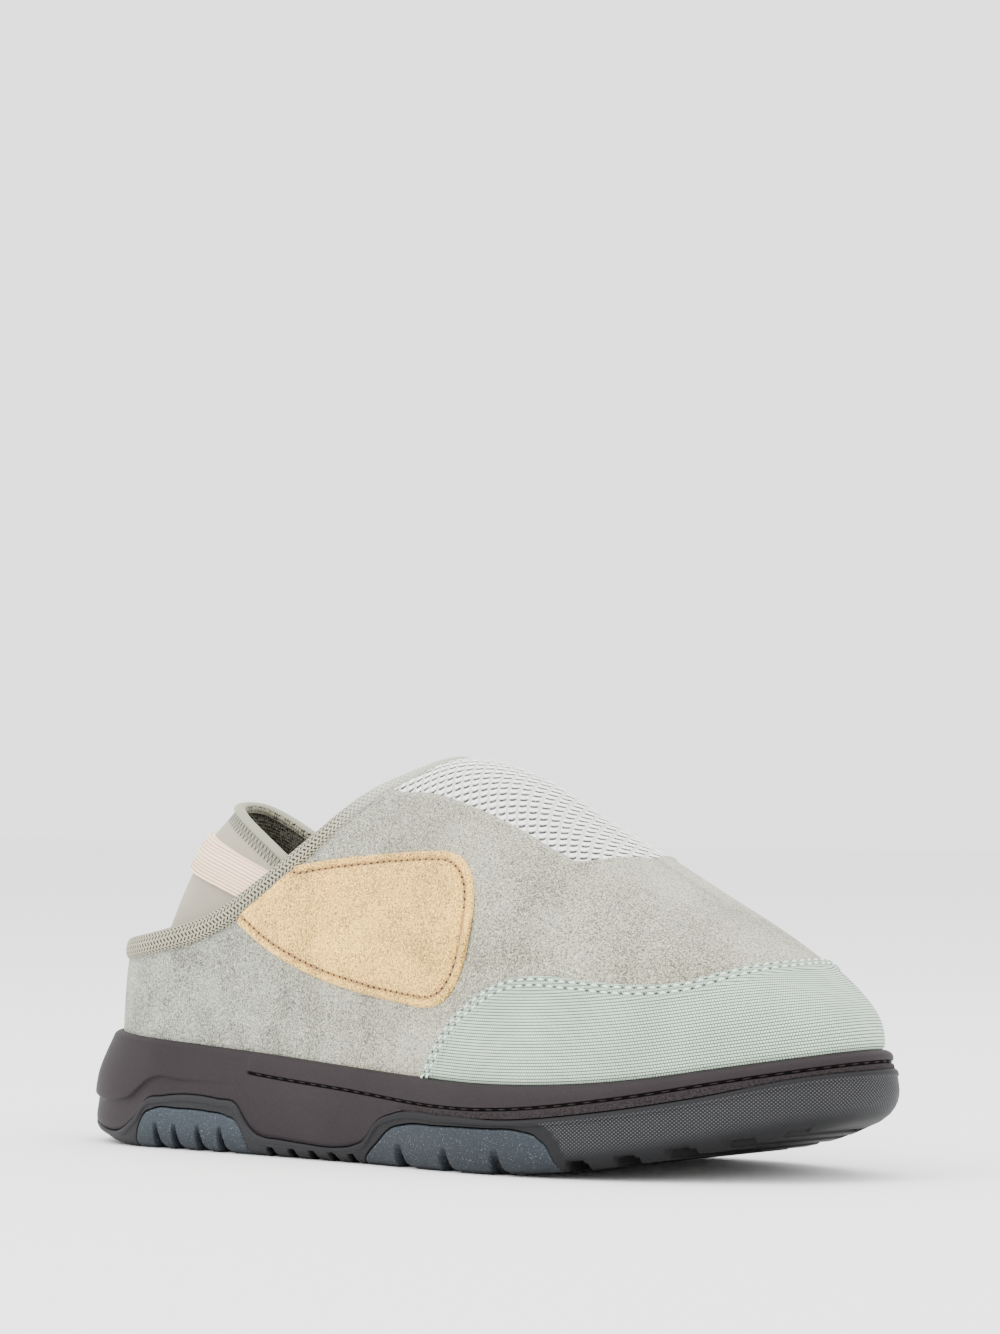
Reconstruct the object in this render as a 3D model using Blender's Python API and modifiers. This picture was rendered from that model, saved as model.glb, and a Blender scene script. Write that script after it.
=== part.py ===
"""Slip-on sneaker for the right foot, with a low heel sock and a lugged cup sole.

Metres, +Z up, the toe towards +X and the outer side of the foot towards -Y.
The shoe stands on the floor, with the origin under the middle of its sole.
A place round the shoe is a turn: 0 at the heel, 0.5 at the toe and 1 at the heel
again, the outer side first. A place up the last is a rise: 0 at the feather line,
where the upper meets the sole, and 1 on the ridge of the instep.
"""

from collections import namedtuple

import bmesh
import bpy
import numpy as np

NAME = "slip_on_sneaker"

# Driving sizes of the last and the sole
LENGTH = 0.302
BALL_WIDTH = 0.114  # of the plan before its toe and heel are rounded
HEEL_HEIGHT = 0.038
INSTEP_HEIGHT = 0.128

# Sole
OUTSOLE_PROUD = 0.0008
LIP_WIDTH = 0.0026
CUP_DEPTH = 0.0040
LEDGE_STEP = 0.0008
LEDGE_HEIGHT = 0.0010
GROOVE_WIDTH = 0.0014
GROOVE_DEPTH = 0.0010
POD_DEPTH = 0.016
POD_PROUD = 0.0004
HEEL_NOTCH_WIDTH = 0.0026
HEEL_NOTCH_HEIGHT = 0.0080
BALL_NOTCH_WIDTH = 0.0044
BALL_NOTCH_HEIGHT = 0.0085
NOTCH_DEPTH = 0.0045
LUG_GROOVE_DEPTH = 0.0024

# Upper
UPPER_WALL = 0.0020
THROAT_WIDTH = 0.058
PANEL_THICKNESS = 0.0013
PANEL_DROP = 0.0007
CAP_THICKNESS = 0.0008
PATCH_THICKNESS = 0.0009
BINDING_HEIGHT = 0.0064
BINDING_THICKNESS = 0.0044
BINDING_TAPER = 0.62
BINDING_SEAT = 0.00095
INSOLE_THICKNESS = 0.0040

# Heel sock and its elastic band
SOCK_WALL = 0.0025
SOCK_HEIGHT = 0.1165
SOCK_LEAN = 0.25
SOCK_SLOPE = 0.60
BAND_WIDTH = 0.0135
BAND_THICKNESS = 0.0015
BAND_HEIGHT = 0.1000
BAND_SLOPE = 0.37

# Clearance between curved pieces, and the part of it that facets use up
GAP = 0.0003
OVERLAY_LIFT = 0.00045

# Counts of columns round the shoe and rows up it
SOLE_COLUMNS = 72
UPPER_COLUMNS = 72
UPPER_ROWS = 9
THROAT_COLUMNS = 12
THROAT_REAR_COLUMNS = 5
PANEL_ROWS = 6
CAP_COLUMNS = 22
CAP_ROWS = 7
PATCH_COLUMNS = 16
PATCH_ROWS = 5
BINDING_SIDES = 8
SOCK_COLUMNS = 30
SOCK_ROWS = 7
BAND_COLUMNS = 24

Plan = namedtuple("Plan", "along lateral medial swing")
PLAN = [  # half widths and the swing of the middle line, shares of half the ball width
    Plan(0.00, 0.735, 0.735, 0.00),
    Plan(0.12, 0.745, 0.740, 0.00),
    Plan(0.30, 0.770, 0.690, 0.00),
    Plan(0.48, 0.850, 0.680, 0.00),
    Plan(0.62, 0.960, 0.820, 0.00),
    Plan(0.74, 1.010, 0.930, 0.02),
    Plan(0.86, 1.010, 0.930, 0.07),
    Plan(1.00, 1.010, 0.930, 0.16),
]
HEEL_ROUND, HEEL_POWER = 0.17, 2.35
TOE_ROUND, TOE_POWER = 0.42, 2.2

Side = namedtuple("Side", "along top tread flare")
SIDE = [  # top edge, tread and inward lean of the sole's wall, shares of heel height
    Side(0.00, 0.98, 0.12, 0.18),
    Side(0.05, 0.97, 0.05, 0.18),
    Side(0.12, 0.945, 0.00, 0.16),
    Side(0.30, 0.865, -0.02, 0.12),
    Side(0.50, 0.765, -0.02, 0.10),
    Side(0.64, 0.725, 0.00, 0.10),
    Side(0.80, 0.790, 0.11, 0.10),
    Side(0.92, 0.935, 0.29, 0.09),
    Side(1.00, 1.04, 0.42, 0.07),
]

Wall = namedtuple("Wall", "share lean tuck")
WALL = [  # up the sole's wall: share of the flare, and the tuck in shares of heel height
    Wall(0.00, 0.00, 0.120),
    Wall(0.05, 0.00, 0.055),
    Wall(0.14, 0.00, 0.012),
    Wall(0.30, 0.00, 0.000),
    Wall(0.55, 0.12, 0.000),
    Wall(1.00, 1.00, 0.000),
]

Ledge = namedtuple("Ledge", "along share step")
LEDGE = [  # step in the midsole's side, as a share of the wall's height, and how much of it is left
    Ledge(0.00, 0.34, 1.0),
    Ledge(0.08, 0.34, 1.0),
    Ledge(0.126, 0.44, 1.0),
    Ledge(0.155, 0.62, 0.9),
    Ledge(0.20, 0.66, 0.6),
    Ledge(0.30, 0.68, 0.0),
    Ledge(0.50, 0.62, 0.0),
    Ledge(1.00, 0.62, 0.0),
]

Groove = namedtuple("Groove", "along share depth")
GROOVE = [  # stitch groove in the midsole's side, as a share of the wall's height
    Groove(0.00, 0.84, 0.0),
    Groove(0.270, 0.82, 0.0),
    Groove(0.285, 0.81, 1.0),
    Groove(0.46, 0.76, 1.0),
    Groove(0.56, 0.72, 1.0),
    Groove(0.67, 0.73, 1.0),
    Groove(0.80, 0.80, 1.0),
    Groove(0.93, 0.84, 1.0),
    Groove(1.00, 0.85, 1.0),
]

Welt = namedtuple("Welt", "along height")
WELT = [  # line where the outsole meets the midsole, shares of heel height
    Welt(0.000, 0.155),
    Welt(0.118, 0.165),
    Welt(0.134, 0.260),
    Welt(0.150, 0.415),
    Welt(0.175, 0.474),
    Welt(0.258, 0.476),
    Welt(0.284, 0.420),
    Welt(0.301, 0.250),
    Welt(0.322, 0.145),
    Welt(0.385, 0.142),
    Welt(0.445, 0.130),
    Welt(0.470, 0.175),
    Welt(0.492, 0.370),
    Welt(0.517, 0.448),
    Welt(0.597, 0.465),
    Welt(0.674, 0.456),
    Welt(0.764, 0.527),
    Welt(0.874, 0.676),
    Welt(0.984, 0.880),
    Welt(1.000, 0.895),
]

Pod = namedtuple("Pod", "along height")
HEEL_POD = [  # outline of the heel insert in the side, shares of heel height
    Pod(0.134, -0.060),
    Pod(0.142, 0.120),
    Pod(0.152, 0.275),
    Pod(0.168, 0.345),
    Pod(0.205, 0.362),
    Pod(0.245, 0.350),
    Pod(0.270, 0.312),
    Pod(0.287, 0.235),
    Pod(0.298, 0.050),
    Pod(0.301, -0.060),
]
BALL_POD = [  # outline of the insert under the ball
    Pod(0.462, -0.060),
    Pod(0.472, 0.050),
    Pod(0.492, 0.185),
    Pod(0.512, 0.315),
    Pod(0.534, 0.362),
    Pod(0.585, 0.374),
    Pod(0.650, 0.376),
    Pod(0.695, 0.372),
    Pod(0.716, 0.315),
    Pod(0.730, 0.180),
    Pod(0.738, 0.020),
    Pod(0.741, -0.060),
]
HEEL_NOTCHES = (0.158, 0.188, 0.220, 0.252)
BALL_NOTCHES = (0.520, 0.587, 0.655)

Lug = namedtuple("Lug", "along width reach")
LUG_GROOVES = [  # grooves across the tread: width in shares of length, reach in half ball widths
    Lug(0.165, 0.010, 0.36),
    Lug(0.200, 0.010, 0.36),
    Lug(0.235, 0.010, 0.36),
    Lug(0.270, 0.010, 0.36),
    Lug(0.322, 0.009, 1.20),
    Lug(0.350, 0.009, 1.20),
    Lug(0.378, 0.009, 1.20),
    Lug(0.407, 0.009, 1.20),
    Lug(0.435, 0.009, 1.20),
    Lug(0.500, 0.012, 0.52),
    Lug(0.545, 0.012, 0.52),
    Lug(0.590, 0.012, 0.52),
    Lug(0.635, 0.012, 0.52),
    Lug(0.680, 0.012, 0.52),
    Lug(0.762, 0.020, 1.20),
    Lug(0.812, 0.020, 1.20),
    Lug(0.860, 0.020, 1.20),
    Lug(0.905, 0.016, 0.62),
    Lug(0.940, 0.014, 0.44),
]

Rib = namedtuple("Rib", "along ridge across up belly crest")
RIBS = [  # ridge in shares of instep height, roundness, belly, crest in half ball widths
    Rib(0.00, 1.10, 2.1, 1.70, 0.000, 0.00),
    Rib(0.15, 1.10, 2.1, 1.70, 0.005, 0.00),
    Rib(0.35, 1.05, 2.3, 1.70, 0.020, 0.02),
    Rib(0.44, 1.00, 2.4, 1.75, 0.010, 0.05),
    Rib(0.50, 1.003, 2.5, 1.80, 0.010, 0.08),
    Rib(0.56, 0.962, 2.6, 1.85, 0.010, 0.10),
    Rib(0.65, 0.845, 2.7, 2.00, 0.010, 0.12),
    Rib(0.79, 0.670, 2.7, 2.40, 0.010, 0.14),
    Rib(1.00, 0.46, 3.0, 2.80, 0.010, 0.16),
]
HEEL_POLE, HEEL_FAN = 0.20, 0.36
TOE_POLE, TOE_FAN = 0.79, 0.56
FAN_POWER = 2.2

Collar = namedtuple("Collar", "along height")
COLLAR = [  # topline of the upper seen from the side, shares of instep height
    Collar(0.00, 0.470),
    Collar(0.08, 0.482),
    Collar(0.16, 0.513),
    Collar(0.22, 0.553),
    Collar(0.29, 0.645),
    Collar(0.36, 0.775),
    Collar(0.42, 0.905),
    Collar(0.46, 0.970),
    Collar(0.49, 1.030),
]

Throat = namedtuple("Throat", "along lateral medial")
THROAT = [  # reach of the throat window beside the ridge, shares of half the throat width
    Throat(0.420, 0.700, 0.500),
    Throat(0.441, 0.746, 0.530),
    Throat(0.485, 0.847, 0.580),
    Throat(0.527, 0.931, 0.620),
    Throat(0.584, 1.000, 0.660),
    Throat(0.635, 1.000, 0.680),
    Throat(0.672, 1.000, 0.670),
    Throat(0.693, 0.950, 0.620),
    Throat(0.706, 0.700, 0.460),
    Throat(0.714, 0.350, 0.240),
    Throat(0.720, 0.000, 0.000),
]

Cap = namedtuple("Cap", "turn rise")
CAP = [  # seam of the toe cap, from the sole at the side over the toe
    Cap(0.2637, 0.000),
    Cap(0.2687, 0.065),
    Cap(0.2762, 0.135),
    Cap(0.2863, 0.197),
    Cap(0.2988, 0.255),
    Cap(0.3119, 0.285),
    Cap(0.3294, 0.294),
    Cap(0.3506, 0.303),
    Cap(0.3638, 0.320),
    Cap(0.3819, 0.372),
    Cap(0.4000, 0.465),
    Cap(0.4300, 0.595),
    Cap(0.4650, 0.670),
    Cap(0.5000, 0.695),
]

Patch = namedtuple("Patch", "along low high")
PATCH = [  # lower and upper edge of the side patch, shares of instep height
    Patch(0.258, 0.575, 0.690),
    Patch(0.300, 0.520, 0.715),
    Patch(0.360, 0.465, 0.740),
    Patch(0.440, 0.420, 0.760),
    Patch(0.520, 0.400, 0.770),
    Patch(0.565, 0.415, 0.745),
    Patch(0.590, 0.465, 0.690),
    Patch(0.600, 0.560, 0.590),
]

SOCK_REACH = 0.235
SOCK_HINGE = 0.215
BAND_REACH = 0.198
BISECTIONS = 26
STEP = 1e-4
COLUMN_SPARE = 0.3

Finish = namedtuple("Finish", "color roughness metallic")
FINISHES = {
    "midsole": Finish((0.075, 0.062, 0.064), 0.55, 0.0),
    "outsole": Finish((0.095, 0.096, 0.105), 0.60, 0.0),
    "pods": Finish((0.090, 0.115, 0.140), 0.45, 0.0),
    "suede": Finish((0.435, 0.440, 0.400), 0.95, 0.0),
    "net": Finish((0.590, 0.610, 0.590), 0.85, 0.0),
    "nylon": Finish((0.470, 0.530, 0.490), 0.80, 0.0),
    "tan": Finish((0.720, 0.560, 0.360), 0.95, 0.0),
    "binding": Finish((0.330, 0.315, 0.270), 0.90, 0.0),
    "sock": Finish((0.480, 0.455, 0.410), 0.80, 0.0),
    "elastic": Finish((0.850, 0.660, 0.520), 0.85, 0.0),
    "insole": Finish((0.180, 0.175, 0.150), 0.95, 0.0),
}


def curve(at, rows, column):
    """Smooth curve through one column of a table, read at the table's first column."""
    xs = np.array([row[0] for row in rows], float)
    ys = np.array([getattr(row, column) for row in rows], float)
    span = np.diff(xs)
    slope = np.diff(ys) / span
    tangent = np.empty(len(xs))
    tangent[1:-1] = (slope[:-1] * span[1:] + slope[1:] * span[:-1]) / (span[1:] + span[:-1])
    tangent[0] = slope[0]
    tangent[-1] = slope[-1]
    x = np.clip(np.asarray(at, float), xs[0], xs[-1])
    i = np.clip(np.searchsorted(xs, x, side="right") - 1, 0, len(xs) - 2)
    t = (x - xs[i]) / span[i]
    start = (2 * t**3 - 3 * t**2 + 1) * ys[i] + (t**3 - 2 * t**2 + t) * span[i] * tangent[i]
    return start + (3 * t**2 - 2 * t**3) * ys[i + 1] + (t**3 - t**2) * span[i] * tangent[i + 1]


def x_at(along):
    """Place on the long axis of a share of the sole's length; the toe bumper ends at LENGTH."""
    return (np.asarray(along, float) - 0.5) * (LENGTH - OUTSOLE_PROUD) - OUTSOLE_PROUD / 2


def share_of(x):
    """Share of the sole's length at a place on the long axis."""
    return (np.asarray(x, float) + OUTSOLE_PROUD / 2) / (LENGTH - OUTSOLE_PROUD) + 0.5


def along_of(turn):
    """Share of the length that a turn lies at."""
    return (1 - np.cos(2 * np.pi * np.asarray(turn, float))) / 2


def turn_of(along):
    """Turn on the outer side at a share of the length."""
    return np.arccos(1 - 2 * np.asarray(along, float)) / (2 * np.pi)


def half_width(along, column):
    """Half width of the sole on one side, with its heel and toe rounded as superellipses."""
    heel = np.clip((HEEL_ROUND - along) / HEEL_ROUND, 0, 1)
    toe = np.clip((along - 1 + TOE_ROUND) / TOE_ROUND, 0, 1)
    rounded = (1 - heel**HEEL_POWER) ** (1 / HEEL_POWER) * (1 - toe**TOE_POWER) ** (1 / TOE_POWER)
    return curve(along, PLAN, column) * BALL_WIDTH / 2 * rounded


def raw_outline(turn):
    """Widest outline of the sole, before it is centred on the origin."""
    along = along_of(turn)
    outer_side = np.sin(2 * np.pi * np.asarray(turn, float)) >= 0
    y = np.where(outer_side, -half_width(along, "lateral"), half_width(along, "medial"))
    return np.stack([x_at(along), y + curve(along, PLAN, "swing") * BALL_WIDTH / 2], -1)


ROUND_TRIP = raw_outline(np.linspace(0, 1, 2001))[:, 1]
MIDDLE_Y = (ROUND_TRIP.min() + ROUND_TRIP.max()) / 2


def outline(turn, inset=0.0):
    """Outline of the sole, moved inwards by the inset."""
    turn = np.asarray(turn, float)
    point = raw_outline(turn) - [0, MIDDLE_Y]
    tangent = raw_outline(turn + STEP) - raw_outline(turn - STEP)
    tangent /= np.linalg.norm(tangent, axis=-1, keepdims=True)
    outward = np.stack([tangent[..., 1], -tangent[..., 0]], -1)
    return point - outward * np.broadcast_to(inset, turn.shape)[..., None]


def sole_top(along):
    """Height of the sole's top edge."""
    return curve(along, SIDE, "top") * HEEL_HEIGHT


def sole_tread(along):
    """Height of the tread over the floor: flat under heel and forefoot, sprung at the toe."""
    return np.maximum(curve(along, SIDE, "tread"), 0) * HEEL_HEIGHT


def wall_inset(along, share):
    """Inset of the sole's wall at a share of its height."""
    lean = curve(share, WALL, "lean") * curve(along, SIDE, "flare") * HEEL_HEIGHT
    return lean + curve(share, WALL, "tuck") * HEEL_HEIGHT


def wall_ring(turn, share, out=0.0):
    """Ring of points round the sole's wall at a share of its height."""
    along = along_of(turn)
    share = np.broadcast_to(share, along.shape)
    z = sole_tread(along) + (sole_top(along) - sole_tread(along)) * share
    return np.column_stack([outline(turn, wall_inset(along, share) - out), z])


def feather_inset(along):
    """Inset of the upper's foot, just inside the sole's lip."""
    return curve(along, SIDE, "flare") * HEEL_HEIGHT + LIP_WIDTH


def spine_of(along):
    """Share of the length where a rib meets the ridge: the ribs fan out at heel and toe."""
    toe = np.clip((along - TOE_FAN) / (1 - TOE_FAN), 0, 1) ** FAN_POWER * (1 - TOE_POLE)
    heel = np.clip((HEEL_FAN - along) / HEEL_FAN, 0, 1) ** FAN_POWER * HEEL_POLE
    return along - toe + heel


def crest_y(spine):
    """Sideways place of the ridge."""
    return curve(spine, RIBS, "crest") * BALL_WIDTH / 2 - MIDDLE_Y


def last_point(turn, rise):
    """Point on the outside of the upper: each rib is a superellipse from feather line to ridge."""
    turn, rise = np.broadcast_arrays(np.asarray(turn, float), np.asarray(rise, float))
    along = along_of(turn)
    foot = outline(turn, feather_inset(along))
    seat = sole_top(along)
    spine = spine_of(along)
    cx = x_at(spine)
    cy = crest_y(spine)
    ridge = curve(spine, RIBS, "ridge") * INSTEP_HEIGHT
    ahead = curve(np.clip(spine + STEP, 0, 1), RIBS, "ridge")
    behind = curve(np.clip(spine - STEP, 0, 1), RIBS, "ridge")
    slope = (ahead - behind) * INSTEP_HEIGHT / (2 * STEP * LENGTH)
    angle = rise * np.pi / 2
    reach = np.cos(angle) ** (2 / curve(along, RIBS, "across"))
    reach = reach + 1.5 * curve(along, RIBS, "belly") * np.sin(2 * angle)
    climb = np.sin(angle) ** (2 / curve(along, RIBS, "up"))
    x = cx + (foot[..., 0] - cx) * reach
    y = cy + (foot[..., 1] - cy) * reach
    return np.stack([x, y, seat + (ridge + slope * (x - cx) - seat) * climb], -1)


def last_normal(turn, rise):
    """Outward direction of the last's surface."""
    rise = np.clip(rise, STEP * 10, 1 - STEP * 100)
    round_it = last_point(turn + STEP, rise) - last_point(turn - STEP, rise)
    up_it = last_point(turn, rise + STEP * 10) - last_point(turn, rise - STEP * 10)
    normal = np.cross(round_it, up_it)
    return normal / np.linalg.norm(normal, axis=-1, keepdims=True)


def largest_rise(turn, inside):
    """Largest rise up each rib for which the point is still inside, by bisection."""
    low = np.zeros_like(np.asarray(turn, float))
    high = np.ones_like(low)
    for _ in range(BISECTIONS):
        middle = (low + high) / 2
        kept = inside(last_point(turn, middle))
        low = np.where(kept, middle, low)
        high = np.where(kept, high, middle)
    return np.where(low > 1 - STEP, 1.0, low)


def rise_at_height(turn, z):
    """Rise where each rib reaches a height."""
    return largest_rise(turn, lambda p: p[..., 2] < z)


def rise_at_collar(turn):
    """Rise of the topline on each rib, 1 where the rib passes in front of it."""

    def below(p):
        share = share_of(p[..., 0])
        past = share > COLLAR[-1].along
        return past | (p[..., 2] < curve(share, COLLAR, "height") * INSTEP_HEIGHT)

    return largest_rise(turn, below)


def rise_at_throat(turn, margin=0.0):
    """Rise of the throat window's border on each rib, 1 where the rib misses it."""
    middle = crest_y(spine_of(along_of(turn)))

    def outside(p):
        share = share_of(p[..., 0])
        beside = p[..., 1] - middle
        reach = np.where(beside < 0, curve(share, THROAT, "lateral"), curve(share, THROAT, "medial"))
        return (share < THROAT[0].along) | (np.abs(beside) >= reach * THROAT_WIDTH / 2 - margin)

    return largest_rise(turn, outside)


def mirrored(turn):
    """Turn on the outer side that faces a turn on either side."""
    return np.minimum(turn, 1 - turn)


SCAN = np.linspace(0.15, 0.40, 1001)
THROAT_CORNERS = [SCAN[np.argmax(rise_at_throat(way) < rise_at_collar(way))] for way in (SCAN, 1 - SCAN)]
THROAT_TOP = SCAN[np.argmax(rise_at_collar(SCAN) >= 1)]
THROAT_END = SCAN[len(SCAN) - 1 - np.argmax(rise_at_throat(SCAN)[::-1] < 1)] + SCAN[1] - SCAN[0]


def grid_faces(rows, columns, closed=False):
    """Quads of a grid of rows and columns, facing out where columns run round and rows run up."""
    steps = columns if closed else columns - 1
    j, i = np.meshgrid(np.arange(rows - 1), np.arange(steps), indexing="ij")
    k = (i + 1) % columns
    corners = [j * columns + i, j * columns + k, (j + 1) * columns + k, (j + 1) * columns + i]
    return np.stack(corners, -1).reshape(-1, 4).tolist()


def ladder_faces(first, count):
    """Cap of a closed ring: strips between the points that face each other across the shoe."""
    faces = []
    for k in range(count // 2):
        corners = [first + k, first + k + 1, first + (count - k - 1) % count, first + (count - k) % count]
        faces.append(list(dict.fromkeys(corners)))
    return faces


def make_object(name, points, faces, finish, closed_body=False):
    """Object in the shoe's collection, from points and faces, with doubles merged."""
    mesh = bpy.data.meshes.new(name)
    mesh.from_pydata(np.asarray(points).reshape(-1, 3).tolist(), [], faces)
    form = bmesh.new()
    form.from_mesh(mesh)
    bmesh.ops.remove_doubles(form, verts=form.verts, dist=STEP / 10)
    if closed_body:
        bmesh.ops.recalc_face_normals(form, faces=form.faces)
    form.to_mesh(mesh)
    form.free()
    mesh.shade_smooth()
    mesh.set_sharp_from_angle(angle=np.radians(35))
    thing = bpy.data.objects.new(name, mesh)
    SHOE.objects.link(thing)
    if finish:
        mesh.materials.append(make_material(finish))
    return thing


def make_material(finish):
    """Principled material of one finish."""
    material = bpy.data.materials.get(finish)
    if material is None:
        material = bpy.data.materials.new(finish)
        material.use_nodes = True
        shader = material.node_tree.nodes["Principled BSDF"]
        shader.inputs["Base Color"].default_value = (*FINISHES[finish].color, 1)
        shader.inputs["Roughness"].default_value = FINISHES[finish].roughness
        shader.inputs["Metallic"].default_value = FINISHES[finish].metallic
    return material


def make_cutter(name, points, faces):
    """Closed cutter, kept out of the shoe's collection and out of renders."""
    cutter = make_object(name, points, faces, None, closed_body=True)
    SHOE.objects.unlink(cutter)
    CUTTERS.objects.link(cutter)
    cutter.hide_render = True
    cutter.display_type = "WIRE"
    return cutter


def cut(thing, cutter, operation="DIFFERENCE"):
    """Boolean of a piece with a cutter."""
    modifier = thing.modifiers.new(cutter.name, "BOOLEAN")
    modifier.object = cutter
    modifier.operation = operation
    modifier.solver = "EXACT"


def thicken(thing, thickness, outwards=False, lift=0.0):
    """Lift an open surface off its place, then give it a wall."""
    if lift:
        raised = thing.modifiers.new("lift", "DISPLACE")
        raised.strength = lift
        raised.mid_level = 0
    wall = thing.modifiers.new("wall", "SOLIDIFY")
    wall.thickness = thickness
    wall.offset = 1 if outwards else -1
    wall.use_even_offset = True


def prism(name, line, low_y, high_y):
    """Closed prism across the shoe over a polygon in the side view."""
    count = len(line)
    near = np.column_stack([line[:, 0], np.full(count, low_y), line[:, 1]])
    far = near + [0, high_y - low_y, 0]
    sides = [[k, (k + 1) % count, count + (k + 1) % count, count + k] for k in range(count)]
    ends = [list(range(count)), list(range(2 * count - 1, count - 1, -1))]
    return make_cutter(name, np.vstack([near, far]), sides + ends)


def offset_line(line, distance):
    """Line in the side view moved to its upper left by a distance."""
    tangent = np.gradient(line, axis=0)
    tangent /= np.linalg.norm(tangent, axis=-1, keepdims=True)
    return line + np.stack([-tangent[:, 1], tangent[:, 0]], -1) * distance


def table_line(rows, between):
    """Line in the side view through a table of along and height, with points between its rows."""
    knots = np.array([row.along for row in rows])
    along = np.interp(np.arange((len(knots) - 1) * between + 1) / between, np.arange(len(knots)), knots)
    return np.column_stack([x_at(along), curve(along, rows, "height") * HEEL_HEIGHT])


def sole_body(turn, shares, out=0.0):
    """Closed points and faces of the sole's full block with its wall moved out."""
    rings = [wall_ring(turn, share, out) for share in shares]
    count = len(turn)
    faces = grid_faces(len(rings), count, closed=True)
    return np.vstack(rings), faces + ladder_faces(0, count) + ladder_faces((len(rings) - 1) * count, count)


def welt_prism(name, shift):
    """Prism over everything under the welt line, with the line shifted along its normal."""
    line = offset_line(table_line(WELT, 3), shift)
    margin = HEEL_HEIGHT
    ends = [[LENGTH, line[-1, 1]], [LENGTH, -margin], [-LENGTH, -margin], [-LENGTH, line[0, 1]]]
    return prism(name, np.vstack([line, ends]), -BALL_WIDTH, BALL_WIDTH)


def pod_prism(name, rows, sign, grow):
    """Prism over a pod on one side of the shoe, grown by the clearance for its pocket."""
    line = offset_line(table_line(rows, 2), grow)
    middle = turn_of((rows[0].along + rows[-1].along) / 2)
    edge = abs(outline(np.array([middle if sign < 0 else 1 - middle]))[0, 1])
    inner = edge - POD_DEPTH - grow
    low, high = sorted((sign * inner, sign * BALL_WIDTH))
    return prism(name, line, low, high)


def make_midsole():
    """Cup midsole: wall with its ledge and stitch groove, a lip and a floor, cut off at the welt."""
    turn = np.arange(SOLE_COLUMNS) / SOLE_COLUMNS
    along = along_of(turn)
    wall = sole_top(along) - sole_tread(along)
    ledge = curve(along, LEDGE, "share")
    step = np.clip(curve(along, LEDGE, "step"), 0, 1) * LEDGE_STEP
    groove = curve(along, GROOVE, "share")
    depth = np.clip(curve(along, GROOVE, "depth"), 0, 1) * GROOVE_DEPTH
    half_groove = GROOVE_WIDTH / 2 / wall
    half_ledge = LEDGE_HEIGHT / 2 / wall
    round_lip = LIP_WIDTH / 3
    levels = [
        (0.0 * wall, -step),
        (0.05 + 0 * wall, -step),
        (0.14 + 0 * wall, -step),
        (ledge - half_ledge, -step),
        (ledge + half_ledge, 0 * step),
        (groove - half_groove, 0 * step),
        (groove - half_groove * 0.6, -depth),
        (groove + half_groove * 0.6, -depth),
        (groove + half_groove, 0 * step),
        (1 - round_lip / wall, 0 * step),
        (1 + 0 * wall, -round_lip + 0 * step),
    ]
    rings = [wall_ring(turn, share, out) for share, out in levels]
    cup = outline(turn, feather_inset(along) - GAP)
    rings.append(np.column_stack([cup, sole_top(along)]))
    rings.append(np.column_stack([cup, sole_top(along) - CUP_DEPTH]))
    faces = grid_faces(len(rings), SOLE_COLUMNS, closed=True)
    faces += ladder_faces(0, SOLE_COLUMNS) + ladder_faces((len(rings) - 1) * SOLE_COLUMNS, SOLE_COLUMNS)
    midsole = make_object("midsole", np.vstack(rings), faces, "midsole", closed_body=True)
    cut(midsole, welt_prism("welt_for_midsole", GAP / 2))
    return midsole


def make_outsole():
    """Outsole under the welt line, with pockets for the pods and grooves between its lugs."""
    turn = np.arange(SOLE_COLUMNS) / SOLE_COLUMNS
    points, faces = sole_body(turn, (0, 0.05, 0.14, 0.30, 0.55, 0.80, 1.0), OUTSOLE_PROUD)
    outsole = make_object("outsole", points, faces, "outsole", closed_body=True)
    cut(outsole, welt_prism("welt_for_outsole", -GAP / 2), "INTERSECT")
    for rows, place in ((HEEL_POD, "heel"), (BALL_POD, "ball")):
        for sign, side in ((-1, "lateral"), (1, "medial")):
            cut(outsole, pod_prism(f"{place}_pocket_{side}", rows, sign, GAP))
    cut(outsole, lug_cutter())
    return outsole


def lug_cutter():
    """Bars across the tread, one for each groove between the lugs."""
    points = []
    faces = []
    box = [(0, 1, 3, 2), (4, 6, 7, 5), (0, 4, 5, 1), (2, 3, 7, 6), (0, 2, 6, 4), (1, 5, 7, 3)]
    for lug in LUG_GROOVES:
        half = lug.width * LENGTH / 2
        reach = lug.reach * BALL_WIDTH / 2
        top = float(sole_tread(np.array(lug.along))) + LUG_GROOVE_DEPTH
        first = len(points)
        for x in (x_at(lug.along) - half, x_at(lug.along) + half):
            for y in (-reach, reach):
                points += [(x, y, -HEEL_HEIGHT), (x, y, top)]
        faces += [[first + k for k in face] for face in box]
    return make_cutter("lug_grooves", points, faces)


def notch_cutter(name, places, width, height, sign, edge):
    """Tapered notches in the side of a pod, open to the floor."""
    points = []
    faces = []
    box = [(0, 1, 2, 3), (7, 6, 5, 4), (0, 4, 5, 1), (1, 5, 6, 2), (2, 6, 7, 3), (3, 7, 4, 0)]
    inner = sign * (edge - NOTCH_DEPTH)
    outer = sign * BALL_WIDTH
    for along in places:
        x = float(x_at(along))
        first = len(points)
        for y, tip in ((inner, height / 3), (outer, height)):
            points += [(x - width / 2, y, -HEEL_HEIGHT), (x + width / 2, y, -HEEL_HEIGHT)]
            points += [(x + width / 5, y, tip), (x - width / 5, y, tip)]
        faces += [[first + k for k in face] for face in box]
    return make_cutter(name, points, faces)


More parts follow.
